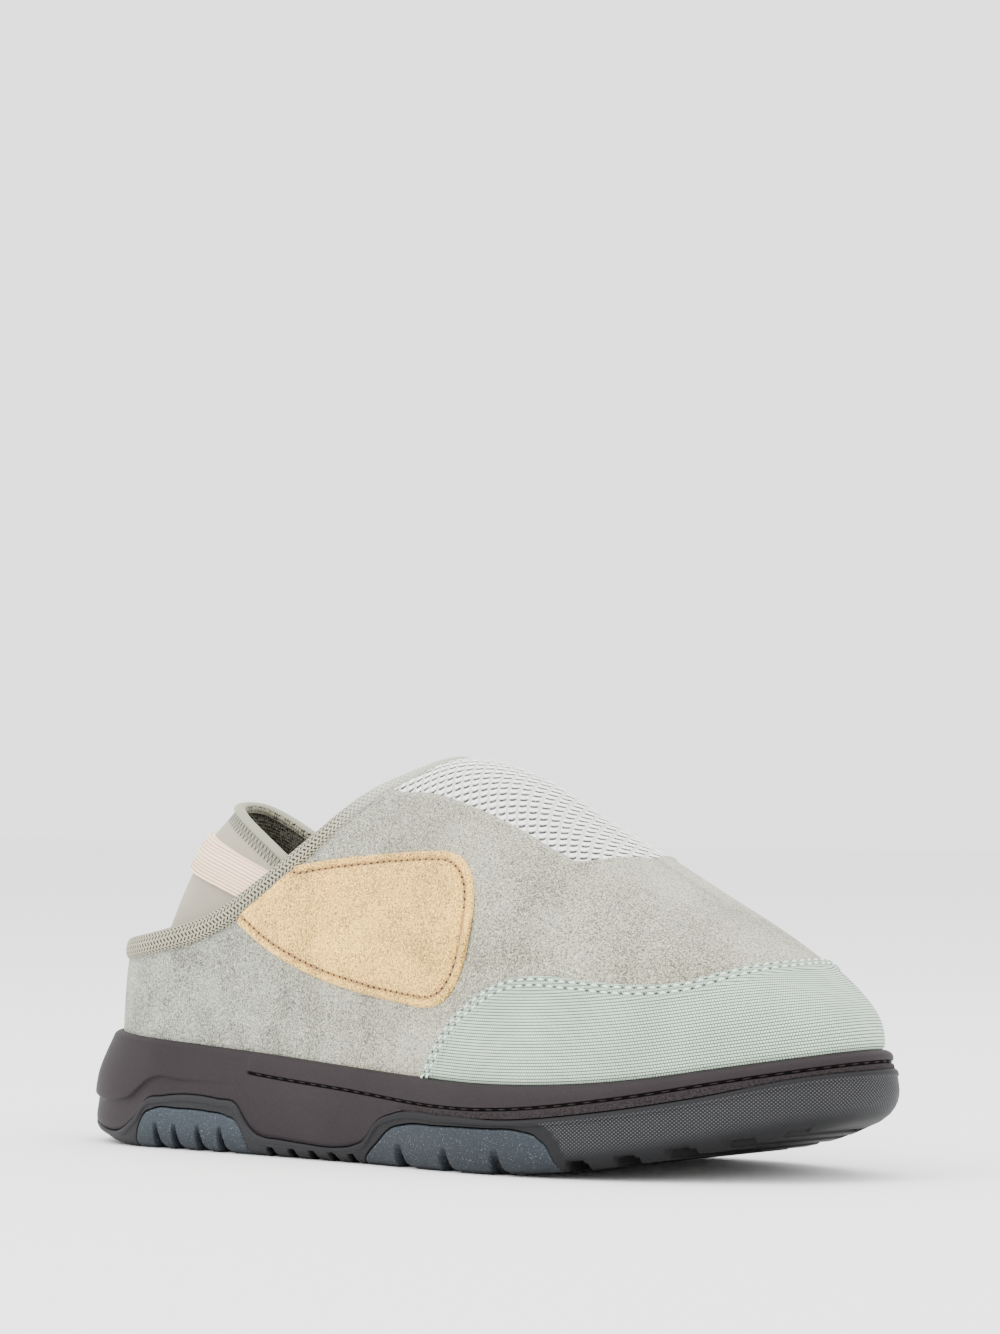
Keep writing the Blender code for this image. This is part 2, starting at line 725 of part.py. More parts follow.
def make_pods():
    """Four lugged inserts in the outsole's sides."""
    turn = np.arange(SOLE_COLUMNS) / SOLE_COLUMNS
    kinds = (
        ("heel", HEEL_POD, HEEL_NOTCHES, HEEL_NOTCH_WIDTH, HEEL_NOTCH_HEIGHT),
        ("ball", BALL_POD, BALL_NOTCHES, BALL_NOTCH_WIDTH, BALL_NOTCH_HEIGHT),
    )
    for place, rows, notches, width, height in kinds:
        for sign, side in ((-1, "lateral"), (1, "medial")):
            points, faces = sole_body(turn, (0, 0.05, 0.14, 0.30, 0.55, 1.0), POD_PROUD)
            pod = make_object(f"{place}_pod_{side}", points, faces, "pods", closed_body=True)
            cut(pod, pod_prism(f"{place}_pod_block_{side}", rows, sign, 0.0), "INTERSECT")
            middle = turn_of(np.mean(notches))
            edge = abs(outline(np.array([middle if sign < 0 else 1 - middle]))[0, 1])
            cut(pod, notch_cutter(f"{place}_notches_{side}", notches, width, height, sign, edge))


def make_insole():
    """Insole on the cup's floor, inside the upper's wall."""
    turn = np.arange(SOLE_COLUMNS) / SOLE_COLUMNS
    along = along_of(turn)
    edge = outline(turn, feather_inset(along) + UPPER_WALL + 2 * GAP)
    floor = sole_top(along) - CUP_DEPTH + GAP
    rings = [np.column_stack([edge, floor]), np.column_stack([edge, floor + INSOLE_THICKNESS])]
    faces = grid_faces(2, SOLE_COLUMNS, closed=True)
    faces += ladder_faces(0, SOLE_COLUMNS) + ladder_faces(SOLE_COLUMNS, SOLE_COLUMNS)
    return make_object("insole", np.vstack(rings), faces, "insole", closed_body=True)


def throat_turns(corner):
    """Turns from a corner of the throat to its end, closer where its border turns."""
    rear = np.sin(np.linspace(0, np.pi / 2, THROAT_REAR_COLUMNS))
    front = np.sin(np.linspace(0, np.pi / 2, THROAT_COLUMNS))
    rear = corner + (THROAT_TOP - corner) * rear
    return np.concatenate([rear, THROAT_TOP + (THROAT_END - THROAT_TOP) * front[1:]])


def upper_turns():
    """Turns of the upper's columns: even, but for the throat's own on each side."""
    even = np.arange(UPPER_COLUMNS) / UPPER_COLUMNS
    side = mirrored(even)
    spare = COLUMN_SPARE / UPPER_COLUMNS
    corner = np.where(even < 0.5, *THROAT_CORNERS)
    clear = (side < corner - spare) | (side > THROAT_END + spare)
    lateral, medial = (throat_turns(corner) for corner in THROAT_CORNERS)
    return np.sort(np.concatenate([even[clear], lateral, 1 - medial]))


def make_upper():
    """Hollow suede shell, open at collar, throat and underside."""
    turn = upper_turns()
    along = along_of(turn)
    side = mirrored(turn)
    limit = np.minimum(rise_at_collar(turn), rise_at_throat(turn))
    limit = np.where(side > THROAT_END - STEP, 1, limit)
    skirt = last_point(turn, 0.0)
    skirt[:, 2] = sole_top(along) - CUP_DEPTH + GAP
    points = np.vstack([skirt, between_rises(turn, 0.0, limit, UPPER_ROWS)])
    faces = grid_faces(UPPER_ROWS + 1, len(turn), closed=True)
    upper = make_object("upper", points, faces, "suede")
    thicken(upper, UPPER_WALL)
    return upper


def between_rises(turn, low, high, rows):
    """Points of a grid on the last, its rows evenly between two rises on each rib."""
    return np.vstack([last_point(turn, low + (high - low) * k / (rows - 1)) for k in range(rows)])


def make_throat_panel():
    """Net panel that fills the throat window, a little below the suede."""
    lateral, medial = (throat_turns(corner) for corner in THROAT_CORNERS)
    points = []
    faces = []
    for turn in (lateral, 1 - medial[::-1]):
        low = rise_at_throat(turn, 2 * GAP)
        high = np.maximum(rise_at_collar(turn), low)
        first = len(points)
        points += between_rises(turn, low, high, PANEL_ROWS).tolist()
        faces += [[first + k for k in face] for face in grid_faces(PANEL_ROWS, len(turn))]
    panel = make_object("throat_panel", points, faces, "net")
    thicken(panel, PANEL_THICKNESS, lift=-PANEL_DROP)
    return panel


def make_toe_cap():
    """Woven toe cap over the suede, from the sole's lip up to its seam."""
    sides = np.array([row.turn for row in CAP])
    lateral = np.interp(np.linspace(0, len(sides) - 1, CAP_COLUMNS), np.arange(len(sides)), sides)
    turn = np.concatenate([lateral, 1 - lateral[-2::-1]])
    low = rise_at_height(turn, sole_top(along_of(turn)) + GAP)
    high = np.maximum(curve(mirrored(turn), CAP, "rise"), low)
    points = between_rises(turn, low, high, CAP_ROWS)
    cap = make_object("toe_cap", points, grid_faces(CAP_ROWS, len(turn)), "nylon")
    thicken(cap, CAP_THICKNESS, outwards=True, lift=OVERLAY_LIFT)
    return cap


def make_side_patch():
    """Plain suede patch on the outer side, its rear end under the collar binding."""
    ease = np.sin(np.linspace(0, np.pi / 2, PATCH_COLUMNS))
    along = PATCH[0].along + (PATCH[-1].along - PATCH[0].along) * ease
    turn = turn_of(along)
    collar = rise_at_height(turn, last_point(turn, rise_at_collar(turn))[:, 2] - 2 * GAP)
    low = rise_at_height(turn, curve(along, PATCH, "low") * INSTEP_HEIGHT)
    high = rise_at_height(turn, curve(along, PATCH, "high") * INSTEP_HEIGHT)
    high = np.minimum(high, collar)
    low = np.minimum(low, high)
    points = between_rises(turn, low, high, PATCH_ROWS)
    patch = make_object("side_patch", points, grid_faces(PATCH_ROWS, len(turn)), "tan")
    thicken(patch, PATCH_THICKNESS, outwards=True, lift=OVERLAY_LIFT)
    return patch


def topline():
    """Points round the topline, with the direction away from the upper and the outward one."""
    turn = upper_turns()
    turn = turn[(mirrored(turn) < THROAT_TOP + STEP) & (turn != 1 - THROAT_TOP)]
    rise = rise_at_collar(turn)
    point = last_point(turn, rise)
    normal = last_normal(turn, np.minimum(rise, 0.97))
    normal = (np.roll(normal, 1, 0) + 2 * normal + np.roll(normal, -1, 0)) / 4
    tangent = np.roll(point, -1, 0) - np.roll(point, 1, 0)
    tangent /= np.linalg.norm(tangent, axis=-1, keepdims=True)
    normal -= tangent * np.sum(normal * tangent, -1, keepdims=True)
    normal /= np.linalg.norm(normal, axis=-1, keepdims=True)
    return point, np.cross(normal, tangent), normal


def make_binding():
    """Padded binding round the collar, thinner towards the throat panel."""
    point, away, normal = topline()
    taper = np.interp(share_of(point[:, 0]), (COLLAR[4].along, COLLAR[7].along), (1, BINDING_TAPER))[:, None]
    half_height = taper * BINDING_HEIGHT / 2
    half_thickness = taper * BINDING_THICKNESS / 2
    centre = point + away * (half_height + BINDING_SEAT) - normal * UPPER_WALL / 2
    angle = np.arange(BINDING_SIDES) / BINDING_SIDES * 2 * np.pi
    rings = [
        centre + away * half_height * np.cos(a) + normal * half_thickness * np.sin(a) for a in angle
    ]
    rings.append(rings[0])
    faces = grid_faces(len(rings), len(point), closed=True)
    return make_object("collar_binding", np.vstack(rings), faces, "binding", closed_body=True)


def sock_point(turn, z):
    """Point on the sock's outside: the last inside the binding, leant forward round the heel."""
    signed = turn - np.round(turn)
    rise = rise_at_height(turn, z)
    inset = UPPER_WALL / 2 + BINDING_THICKNESS / 2 + BAND_THICKNESS + 4 * GAP
    point = last_point(turn, rise) - last_normal(turn, rise) * inset
    free = np.clip(1 - (signed / SOCK_HINGE) ** 2, 0, 1)
    point[..., 0] += SOCK_LEAN * free * (z - sole_top(along_of(turn)))
    return point


def sock_height(turn, start, slope):
    """Height on the sock's outside of a plane that starts at the heel and falls towards the toe."""
    z = np.full(np.shape(turn), start)
    back = sock_point(np.zeros(1), np.array([start]))[0, 0]
    for _ in range(BISECTIONS):
        z = start - slope * (sock_point(turn, z)[..., 0] - back)
    return z


def make_sock():
    """Heel sock: a collapsible wall round the heel, standing on the insole."""
    turn = SOCK_REACH * np.linspace(-1, 1, SOCK_COLUMNS + 1)
    foot = sole_top(along_of(turn)) - CUP_DEPTH + INSOLE_THICKNESS + 2 * GAP + SOCK_WALL * SOCK_LEAN
    top = sock_height(turn, SOCK_HEIGHT, SOCK_SLOPE)
    share = np.linspace(0, 1, SOCK_ROWS)
    grid = [sock_point(turn, foot + (top - foot) * s) for s in share]
    sock = make_object("heel_sock", np.vstack(grid), grid_faces(SOCK_ROWS, len(turn)), "sock")
    thicken(sock, SOCK_WALL)
    return sock


def make_band():
    """Elastic band round the back of the sock, its ends inside the binding."""
    turn = BAND_REACH * np.linspace(-1, 1, BAND_COLUMNS + 1)
    middle = sock_height(turn, BAND_HEIGHT, BAND_SLOPE)
    lean = np.linalg.norm(sock_point(turn, middle + STEP) - sock_point(turn, middle), axis=-1) / STEP
    grid = [sock_point(turn, middle + BAND_WIDTH / lean * share) for share in (-0.5, 0.0, 0.5)]
    band = make_object("elastic_band", np.vstack(grid), grid_faces(3, len(turn)), "elastic")
    thicken(band, BAND_THICKNESS, outwards=True, lift=GAP)
    return band


for old in list(bpy.data.objects):
    bpy.data.objects.remove(old, do_unlink=True)

SHOE = bpy.data.collections.new(NAME)
CUTTERS = bpy.data.collections.new("cutters")
bpy.context.scene.collection.children.link(SHOE)
bpy.context.scene.collection.children.link(CUTTERS)

make_midsole()
make_outsole()
make_pods()
make_insole()
make_upper()
make_throat_panel()
make_toe_cap()
make_side_patch()
make_binding()
make_sock()
make_band()
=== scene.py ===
"""Slip-on sneaker for the right foot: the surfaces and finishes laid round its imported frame.

Metres, +Z up, the toe towards +X and the outer side of the foot towards -Y. A turn is a place
round the shoe: 0 at the heel, 0.5 at the toe and 1 at the heel again, the outer side first.
A rise is a place up the last: 0 at the feather line and 1 on the ridge of the instep.
An along is a share of the sole's length, from heel to toe.
"""

import logging
from dataclasses import dataclass, field
from enum import Enum
from functools import cached_property
from typing import Callable

import bmesh
import bpy
import numpy as np
from mathutils import Matrix


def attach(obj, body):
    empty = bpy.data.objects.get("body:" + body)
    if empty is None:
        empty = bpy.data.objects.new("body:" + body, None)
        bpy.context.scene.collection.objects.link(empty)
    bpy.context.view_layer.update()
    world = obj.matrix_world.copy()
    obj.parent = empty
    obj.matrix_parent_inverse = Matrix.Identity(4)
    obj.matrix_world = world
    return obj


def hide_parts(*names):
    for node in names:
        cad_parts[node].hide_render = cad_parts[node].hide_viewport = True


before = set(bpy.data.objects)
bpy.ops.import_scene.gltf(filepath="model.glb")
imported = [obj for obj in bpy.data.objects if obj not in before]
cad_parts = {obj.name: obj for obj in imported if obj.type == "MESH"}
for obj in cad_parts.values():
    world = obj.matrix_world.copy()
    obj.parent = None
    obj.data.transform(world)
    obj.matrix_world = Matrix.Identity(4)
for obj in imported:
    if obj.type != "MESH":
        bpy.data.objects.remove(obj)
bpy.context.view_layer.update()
LOG = logging.getLogger("sneaker")

Array = np.ndarray
Colour = tuple[float, float, float]

GAP = 0.0003  # between two pieces, in metres
LAID = 0.00005  # an overlay's edge over the cloth below it
MERGE = 2e-6  # below this distance two points are one
STEP = 1e-4  # of turn, rise or height, for differences
BISECTIONS = 26

# Half widths and the swing of the middle line, shares of half the ball width
PLAN = np.array([
    [0.00, 0.735, 0.735, 0.00], [0.12, 0.745, 0.740, 0.00], [0.30, 0.770, 0.690, 0.00],
    [0.48, 0.850, 0.680, 0.00], [0.62, 0.960, 0.820, 0.00], [0.74, 1.010, 0.930, 0.02],
    [0.86, 1.010, 0.930, 0.07], [1.00, 1.010, 0.930, 0.16]])
# Top edge, tread and inward lean of the sole's wall, shares of heel height
SIDE = np.array([
    [0.00, 0.98, 0.12, 0.18], [0.05, 0.97, 0.05, 0.18], [0.12, 0.945, 0.00, 0.16],
    [0.30, 0.865, -0.02, 0.12], [0.50, 0.765, -0.02, 0.10], [0.64, 0.725, 0.00, 0.10],
    [0.80, 0.790, 0.11, 0.10], [0.92, 0.935, 0.29, 0.09], [1.00, 1.04, 0.42, 0.07]])
# Up the sole's wall: share of the flare, and the tuck in shares of heel height
WALL = np.array([
    [0.00, 0.00, 0.120], [0.05, 0.00, 0.055], [0.14, 0.00, 0.012], [0.30, 0.00, 0.000],
    [0.55, 0.12, 0.000], [1.00, 1.00, 0.000]])
# Ledge in the midsole's side: share of the wall's height, and how much of the step is left
LEDGE = np.array([
    [0.00, 0.40, 1.0], [0.08, 0.39, 1.0], [0.122, 0.46, 1.0], [0.152, 0.64, 0.9],
    [0.20, 0.66, 0.6], [0.30, 0.68, 0.0], [0.50, 0.62, 0.0], [1.00, 0.62, 0.0]])
# Stitch groove in the midsole's side: share of the wall's height, and its depth
GROOVE = np.array([
    [0.00, 0.84, 0.0], [0.270, 0.82, 0.0], [0.285, 0.81, 1.0], [0.46, 0.76, 1.0],
    [0.56, 0.72, 1.0], [0.67, 0.73, 1.0], [0.80, 0.80, 1.0], [0.93, 0.84, 1.0], [1.00, 0.85, 1.0]])
# Line where outsole and midsole meet, shares of heel height
WELT = np.array([
    [0.000, 0.222], [0.030, 0.200], [0.120, 0.192], [0.135, 0.275], [0.150, 0.415], [0.175, 0.460],
    [0.258, 0.464], [0.286, 0.425], [0.304, 0.262], [0.314, 0.202], [0.326, 0.172], [0.350, 0.158],
    [0.385, 0.139], [0.437, 0.130], [0.462, 0.160], [0.478, 0.212], [0.496, 0.370],
    [0.521, 0.448], [0.597, 0.465],
    [0.674, 0.456], [0.764, 0.527], [0.874, 0.676], [0.984, 0.880], [1.000, 0.895]])
# Outlines of the inserts in the side, shares of heel height
HEEL_POD = np.array([
    [0.127, -0.060], [0.136, 0.120], [0.146, 0.275], [0.162, 0.345], [0.200, 0.362],
    [0.245, 0.352], [0.272, 0.325], [0.290, 0.250], [0.300, 0.080], [0.303, -0.060]])
BALL_POD = np.array([
    [0.466, -0.060], [0.476, 0.050], [0.496, 0.185], [0.516, 0.315], [0.538, 0.362],
    [0.590, 0.374], [0.655, 0.378], [0.700, 0.374], [0.722, 0.325], [0.737, 0.200],
    [0.745, 0.030], [0.748, -0.060]])
# Grooves across the tread: width in shares of length, reach in half ball widths
LUGS = np.array([
    [0.165, 0.010, 0.36], [0.200, 0.010, 0.36], [0.235, 0.010, 0.36], [0.270, 0.010, 0.36],
    [0.334, 0.009, 1.20], [0.366, 0.009, 1.20], [0.397, 0.009, 1.20], [0.427, 0.009, 1.20],
    [0.456, 0.009, 1.20], [0.500, 0.012, 0.52], [0.545, 0.012, 0.52], [0.590, 0.012, 0.52],
    [0.635, 0.012, 0.52], [0.680, 0.012, 0.52], [0.762, 0.020, 1.20], [0.812, 0.020, 1.20],
    [0.860, 0.020, 1.20], [0.905, 0.016, 0.62], [0.940, 0.014, 0.44]])
# Ridge in shares of instep height, roundness across and up, belly, crest in half ball widths
RIBS = np.array([
    [0.00, 1.10, 2.1, 1.70, 0.000, 0.00], [0.15, 1.10, 2.1, 1.70, 0.005, 0.00],
    [0.35, 1.05, 2.3, 1.70, 0.020, 0.02], [0.44, 1.00, 2.4, 1.75, 0.010, 0.05],
    [0.50, 1.003, 2.5, 1.80, 0.010, 0.08], [0.56, 0.962, 2.6, 1.85, 0.010, 0.10],
    [0.65, 0.845, 2.7, 2.00, 0.010, 0.12], [0.79, 0.670, 2.7, 2.40, 0.010, 0.14],
    [1.00, 0.46, 3.0, 2.80, 0.010, 0.16]])
# Topline of the upper seen from the side, shares of instep height
COLLAR = np.array([
    [0.00, 0.470], [0.08, 0.482], [0.16, 0.513], [0.22, 0.553], [0.29, 0.645],
    [0.36, 0.775], [0.42, 0.905], [0.46, 0.970], [0.49, 1.030]])
# Reach of the throat window beside the ridge, outer and inner, shares of half its width
THROAT = np.array([
    [0.420, 0.700, 0.500], [0.441, 0.746, 0.530], [0.485, 0.847, 0.580], [0.527, 0.931, 0.620],
    [0.584, 1.000, 0.660], [0.635, 1.000, 0.680], [0.672, 1.000, 0.670], [0.693, 0.950, 0.620],
    [0.706, 0.700, 0.460], [0.714, 0.350, 0.240], [0.720, 0.000, 0.000]])
# Seam of the toe cap by turn and rise, from the sole at the side over the toe
CAP = np.array([
    [0.2637, 0.000], [0.2687, 0.065], [0.2762, 0.135], [0.2863, 0.197], [0.2988, 0.255],
    [0.3119, 0.285], [0.3294, 0.294], [0.3506, 0.303], [0.3638, 0.320], [0.3819, 0.372],
    [0.4000, 0.465], [0.4300, 0.595], [0.4650, 0.670], [0.5000, 0.695]])
# Lower and upper edge of the side patch, shares of instep height
PATCH = np.array([
    [0.258, 0.575, 0.690], [0.300, 0.520, 0.715], [0.360, 0.465, 0.740], [0.440, 0.420, 0.760],
    [0.520, 0.395, 0.772], [0.600, 0.375, 0.772]])


def curve(at: Array, table: Array, column: int = 1) -> Array:
    """Smooth curve through one column of a table: a cubic Hermite with three-point tangents.

    Args:
        at: Places in the table's first column.
        table: Rows of places and values.
        column: Column that holds the values.

    Returns:
        The curve's values, level beyond the table's ends.
    """
    xs, ys = table[:, 0], table[:, column]
    span = np.diff(xs)
    slope = np.diff(ys) / span
    inner = (slope[:-1] * span[1:] + slope[1:] * span[:-1]) / (span[1:] + span[:-1])
    tangent = np.concatenate([slope[:1], inner, slope[-1:]])
    x = np.clip(np.asarray(at, float), xs[0], xs[-1])
    i = np.clip(np.searchsorted(xs, x, side="right") - 1, 0, len(xs) - 2)
    t = (x - xs[i]) / span[i]
    start = (2 * t**3 - 3 * t**2 + 1) * ys[i] + (t**3 - 2 * t**2 + t) * span[i] * tangent[i]
    return start + (3 * t**2 - 2 * t**3) * ys[i + 1] + (t**3 - t**2) * span[i] * tangent[i + 1]


def ease(value: Array, low: float, high: float) -> Array:
    """Smooth step from 0 at low to 1 at high."""
    t = np.clip((np.asarray(value, float) - low) / (high - low), 0, 1)
    return t * t * (3 - 2 * t)


def unit(vectors: Array) -> Array:
    """Vectors of length 1."""
    return vectors / np.maximum(np.linalg.norm(vectors, axis=-1, keepdims=True), 1e-12)


def run_length(points: Array, axis: int = 0) -> Array:
    """Length along a line of points, or along one axis of a grid of them.

    Args:
        points: Line or grid of points.
        axis: Axis of the grid that the lines run along.

    Returns:
        Length from the first point to each, in the shape of the grid.
    """
    steps = np.linalg.norm(np.diff(points, axis=axis), axis=-1)
    first = np.zeros_like(np.take(steps, [0], axis=axis))
    return np.concatenate([first, np.cumsum(steps, axis=axis)], axis=axis)


def at_lengths(at: Array, length: Array, values: Array) -> Array:
    """Values at given lengths along a path, on straight lines between its points."""
    return np.stack([np.interp(at, length, values[:, k]) for k in range(values.shape[1])], -1)


def distance_to(points: Array, edge: Array, parts: int = 12) -> Array:
    """Distance from each point of a grid to the nearest point of a line.

    Args:
        points: Grid of points.
        edge: Points of the line.
        parts: Number of parts that the line is taken in, to save memory.

    Returns:
        Distances, rows by columns.
    """
    grid = points.reshape(-1, 3)
    away = np.full(len(grid), np.inf)
    for piece in np.array_split(edge, parts):
        away = np.minimum(away, np.linalg.norm(grid[:, None] - piece[None], axis=-1).min(1))
    return away.reshape(points.shape[:2])


def turn_of(along: Array) -> Array:
    """Turn on the outer side at a share of the length."""
    return np.arccos(1 - 2 * np.clip(along, 0, 1)) / (2 * np.pi)


def along_of(turn: Array) -> Array:
    """Share of the length that a turn lies at."""
    return (1 - np.cos(2 * np.pi * np.asarray(turn, float))) / 2


def turn_beside(turn: Array, distance: float) -> Array:
    """Turns of the places a distance further back along the shoe, on the same side."""
    along = np.clip(along_of(turn) - distance / Last.length, 0, 1)
    return np.where(turn < 0.5, turn_of(along), 1 - turn_of(along))


@dataclass(frozen=True)
class Last:
    """Form of the shoe: the sole's outline and wall, and the surface that the upper lies on."""

    length: float = 0.302
    ball_width: float = 0.114
    heel_height: float = 0.038
    instep_height: float = 0.128
    outsole_proud: float = 0.0008
    lip_width: float = 0.0026
    cup_depth: float = 0.0040
    toe_tuck: float = 0.20
    throat_width: float = 0.058
    heel_round: float = 0.17
    heel_power: float = 2.35
    toe_round: float = 0.42
    toe_power: float = 2.2
    heel_pole: float = 0.20
    heel_fan: float = 0.36
    toe_pole: float = 0.79
    toe_fan: float = 0.56
    fan_power: float = 2.2

    def x_at(self, along: Array) -> Array:
        """Place on the long axis of a share of the length."""
        return (np.asarray(along, float) - 0.5) * (self.length - self.outsole_proud) - self.outsole_proud / 2

    def share_of(self, x: Array) -> Array:
        """Share of the length at a place on the long axis."""
        return (np.asarray(x, float) + self.outsole_proud / 2) / (self.length - self.outsole_proud) + 0.5

    def half_width(self, along: Array, column: int) -> Array:
        """Half width of the sole on one side: the plan's curve, with superellipse heel and toe.

        Args:
            along: Shares of the length.
            column: Column of the plan, 1 or 2, for the side.

        Returns:
            Half widths, in metres.
        """
        heel = np.clip((self.heel_round - along) / self.heel_round, 0, 1)
        toe = np.clip((along - 1 + self.toe_round) / self.toe_round, 0, 1)
        heel = (1 - heel**self.heel_power) ** (1 / self.heel_power)
        toe = (1 - toe**self.toe_power) ** (1 / self.toe_power)
        return curve(along, PLAN, column) * self.ball_width / 2 * heel * toe

    def raw_outline(self, turn: Array) -> Array:
        """Widest outline of the sole before it is centred: half widths off the swung middle.

        Args:
            turn: Places round the shoe.

        Returns:
            Points x, y.
        """
        along = along_of(turn)
        outer = np.sin(2 * np.pi * np.asarray(turn, float)) >= 0
        y = np.where(outer, -self.half_width(along, 1), self.half_width(along, 2))
        return np.stack([self.x_at(along), y + curve(along, PLAN, 3) * self.ball_width / 2], -1)

    @cached_property
    def middle_y(self) -> float:
        """Sideways middle of the raw outline."""
        y = self.raw_outline(np.linspace(0, 1, 2001))[:, 1]
        return float(y.min() + y.max()) / 2

    def outline(self, turn: Array, inset: Array = 0.0) -> Array:
        """Outline of the sole, moved inwards along its normal.

        Args:
            turn: Places round the shoe.
            inset: How far in, in metres.

        Returns:
            Points x, y.
        """
        turn = np.asarray(turn, float)
        tangent = unit(self.raw_outline(turn + STEP) - self.raw_outline(turn - STEP))
        outward = np.stack([tangent[..., 1], -tangent[..., 0]], -1)
        point = self.raw_outline(turn) - [0, self.middle_y]
        return point - outward * np.broadcast_to(inset, turn.shape)[..., None]

    def top(self, along: Array) -> Array:
        """Height of the sole's top edge."""
        return curve(along, SIDE, 1) * self.heel_height

    def tread(self, along: Array) -> Array:
        """Height of the tread over the floor."""
        return np.maximum(curve(along, SIDE, 2), 0) * self.heel_height

    def wall_inset(self, along: Array, share: Array) -> Array:
        """Inset of the sole's wall at a share of its height: its lean and its tuck.

        Args:
            along: Shares of the length.
            share: Shares of the wall's height.

        Returns:
            Insets, in metres.
        """
        lean = curve(share, WALL, 1) * curve(along, SIDE, 3)
        toe = ease(along, 0.80, 1.0) * np.clip(1 - share / 0.55, 0, 1) ** 2.4
        return (lean + curve(share, WALL, 2) + self.toe_tuck * toe) * self.heel_height

    def wall(self, turn: Array, z: Array, out: Array = 0.0) -> Array:
        """Points on the sole's wall at given heights.

        Args:
            turn: Places round the shoe.
            z: Heights, in metres.
            out: How far the wall is moved out, in metres.

        Returns:
            Points x, y, z.
        """
        turn, z, out = np.broadcast_arrays(turn, z, out)
        along = along_of(turn)
        tread = self.tread(along)
        share = np.clip((z - tread) / (self.top(along) - tread), 0, 1)
        plan = self.outline(turn, self.wall_inset(along, share) - out)
        return np.concatenate([plan, z[..., None]], -1)

    def height_on_wall(self, turn: Array, table: Array) -> Array:
        """Height where the wall crosses a line that a table gives in the side view.

        Args:
            turn: Places round the shoe.
            table: Shares of the length, and heights in shares of heel height.

        Returns:
            Heights, in metres.
        """
        z = curve(along_of(turn), table) * self.heel_height
        for _ in range(4):
            x = self.wall(turn, z)[..., 0]
            z = curve(self.share_of(x), table) * self.heel_height
        return z

    def feather_inset(self, along: Array) -> Array:
        """Inset of the upper's foot, just inside the sole's lip."""
        return curve(along, SIDE, 3) * self.heel_height + self.lip_width

    def spine_of(self, along: Array) -> Array:
        """Share of the length where a rib meets the ridge: ribs fan out at heel and toe.

        Args:
            along: Shares of the length at the ribs' feet.

        Returns:
            Shares of the length on the ridge.
        """
        toe = np.clip((along - self.toe_fan) / (1 - self.toe_fan), 0, 1) ** self.fan_power
        heel = np.clip((self.heel_fan - along) / self.heel_fan, 0, 1) ** self.fan_power
        return along - toe * (1 - self.toe_pole) + heel * self.heel_pole

    def crest_y(self, spine: Array) -> Array:
        """Sideways place of the ridge."""
        return curve(spine, RIBS, 5) * self.ball_width / 2 - self.middle_y

    def point(self, turn: Array, rise: Array) -> Array:
        """Point on the last: each rib is a superellipse from the feather line to the ridge.

        Args:
            turn: Places round the shoe.
            rise: Places up the rib.

        Returns:
            Points x, y, z.
        """
        turn, rise = np.broadcast_arrays(np.asarray(turn, float), np.asarray(rise, float))
        along = along_of(turn)
        foot = self.outline(turn, self.feather_inset(along))
        seat = self.top(along)
        spine = self.spine_of(along)
        cx, cy = self.x_at(spine), self.crest_y(spine)
        ridge = curve(spine, RIBS, 1) * self.instep_height
        ahead = curve(np.clip(spine + STEP, 0, 1), RIBS, 1)
        behind = curve(np.clip(spine - STEP, 0, 1), RIBS, 1)
        slope = (ahead - behind) * self.instep_height / (2 * STEP * self.length)
        angle = rise * np.pi / 2
        reach = np.cos(angle) ** (2 / curve(along, RIBS, 2))
        reach = reach + 1.5 * curve(along, RIBS, 4) * np.sin(2 * angle)
        climb = np.sin(angle) ** (2 / curve(along, RIBS, 3))
        x = cx + (foot[..., 0] - cx) * reach
        y = cy + (foot[..., 1] - cy) * reach
        return np.stack([x, y, seat + (ridge + slope * (x - cx) - seat) * climb], -1)

    def normal(self, turn: Array, rise: Array) -> Array:
        """Outward direction of the last's surface, from differences round it and up it.

        Args:
            turn: Places round the shoe.
            rise: Places up the rib.

        Returns:
            Unit directions.
        """
        turn, rise = np.broadcast_arrays(np.asarray(turn, float), np.asarray(rise, float))
        rise = np.clip(rise, STEP * 10, 1 - STEP * 100)
        round_it = self.point(turn + STEP, rise) - self.point(turn - STEP, rise)
        up_it = self.point(turn, rise + STEP * 10) - self.point(turn, rise - STEP * 10)
        return unit(np.cross(round_it, up_it))

    def largest_rise(self, turn: Array, inside: Callable[[Array], Array]) -> Array:
        """Largest rise up each rib for which the point is still inside, by bisection.

        Args:
            turn: Places round the shoe.
            inside: Test of points on the last.

        Returns:
            Rises, 1 where the whole rib is inside.
        """
        low = np.zeros_like(np.asarray(turn, float))
        high = np.ones_like(low)
        for _ in range(BISECTIONS):
            middle = (low + high) / 2
            kept = inside(self.point(turn, middle))
            low, high = np.where(kept, middle, low), np.where(kept, high, middle)
        return np.where(low > 1 - STEP, 1.0, low)

    def rise_at_height(self, turn: Array, z: Array) -> Array:
        """Rise where each rib reaches a height."""
        return self.largest_rise(turn, lambda p: p[..., 2] < z)

    def rise_at_collar(self, turn: Array) -> Array:
        """Rise of the topline on each rib, 1 where the rib passes in front of it.

        Args:
            turn: Places round the shoe.

        Returns:
            Rises.
        """

        def below(p: Array) -> Array:
            """Whether points lie below the topline or in front of it."""
            share = self.share_of(p[..., 0])
            return (share > COLLAR[-1, 0]) | (p[..., 2] < curve(share, COLLAR) * self.instep_height)

        return self.largest_rise(turn, below)

    def rise_at_throat(self, turn: Array, margin: float = 0.0) -> Array:
        """Rise of the throat window's border on each rib, 1 where the rib misses it.

        Args:
            turn: Places round the shoe.
            margin: How far in the border is moved, in metres.

        Returns:
            Rises.
        """
        middle = self.crest_y(self.spine_of(along_of(turn)))

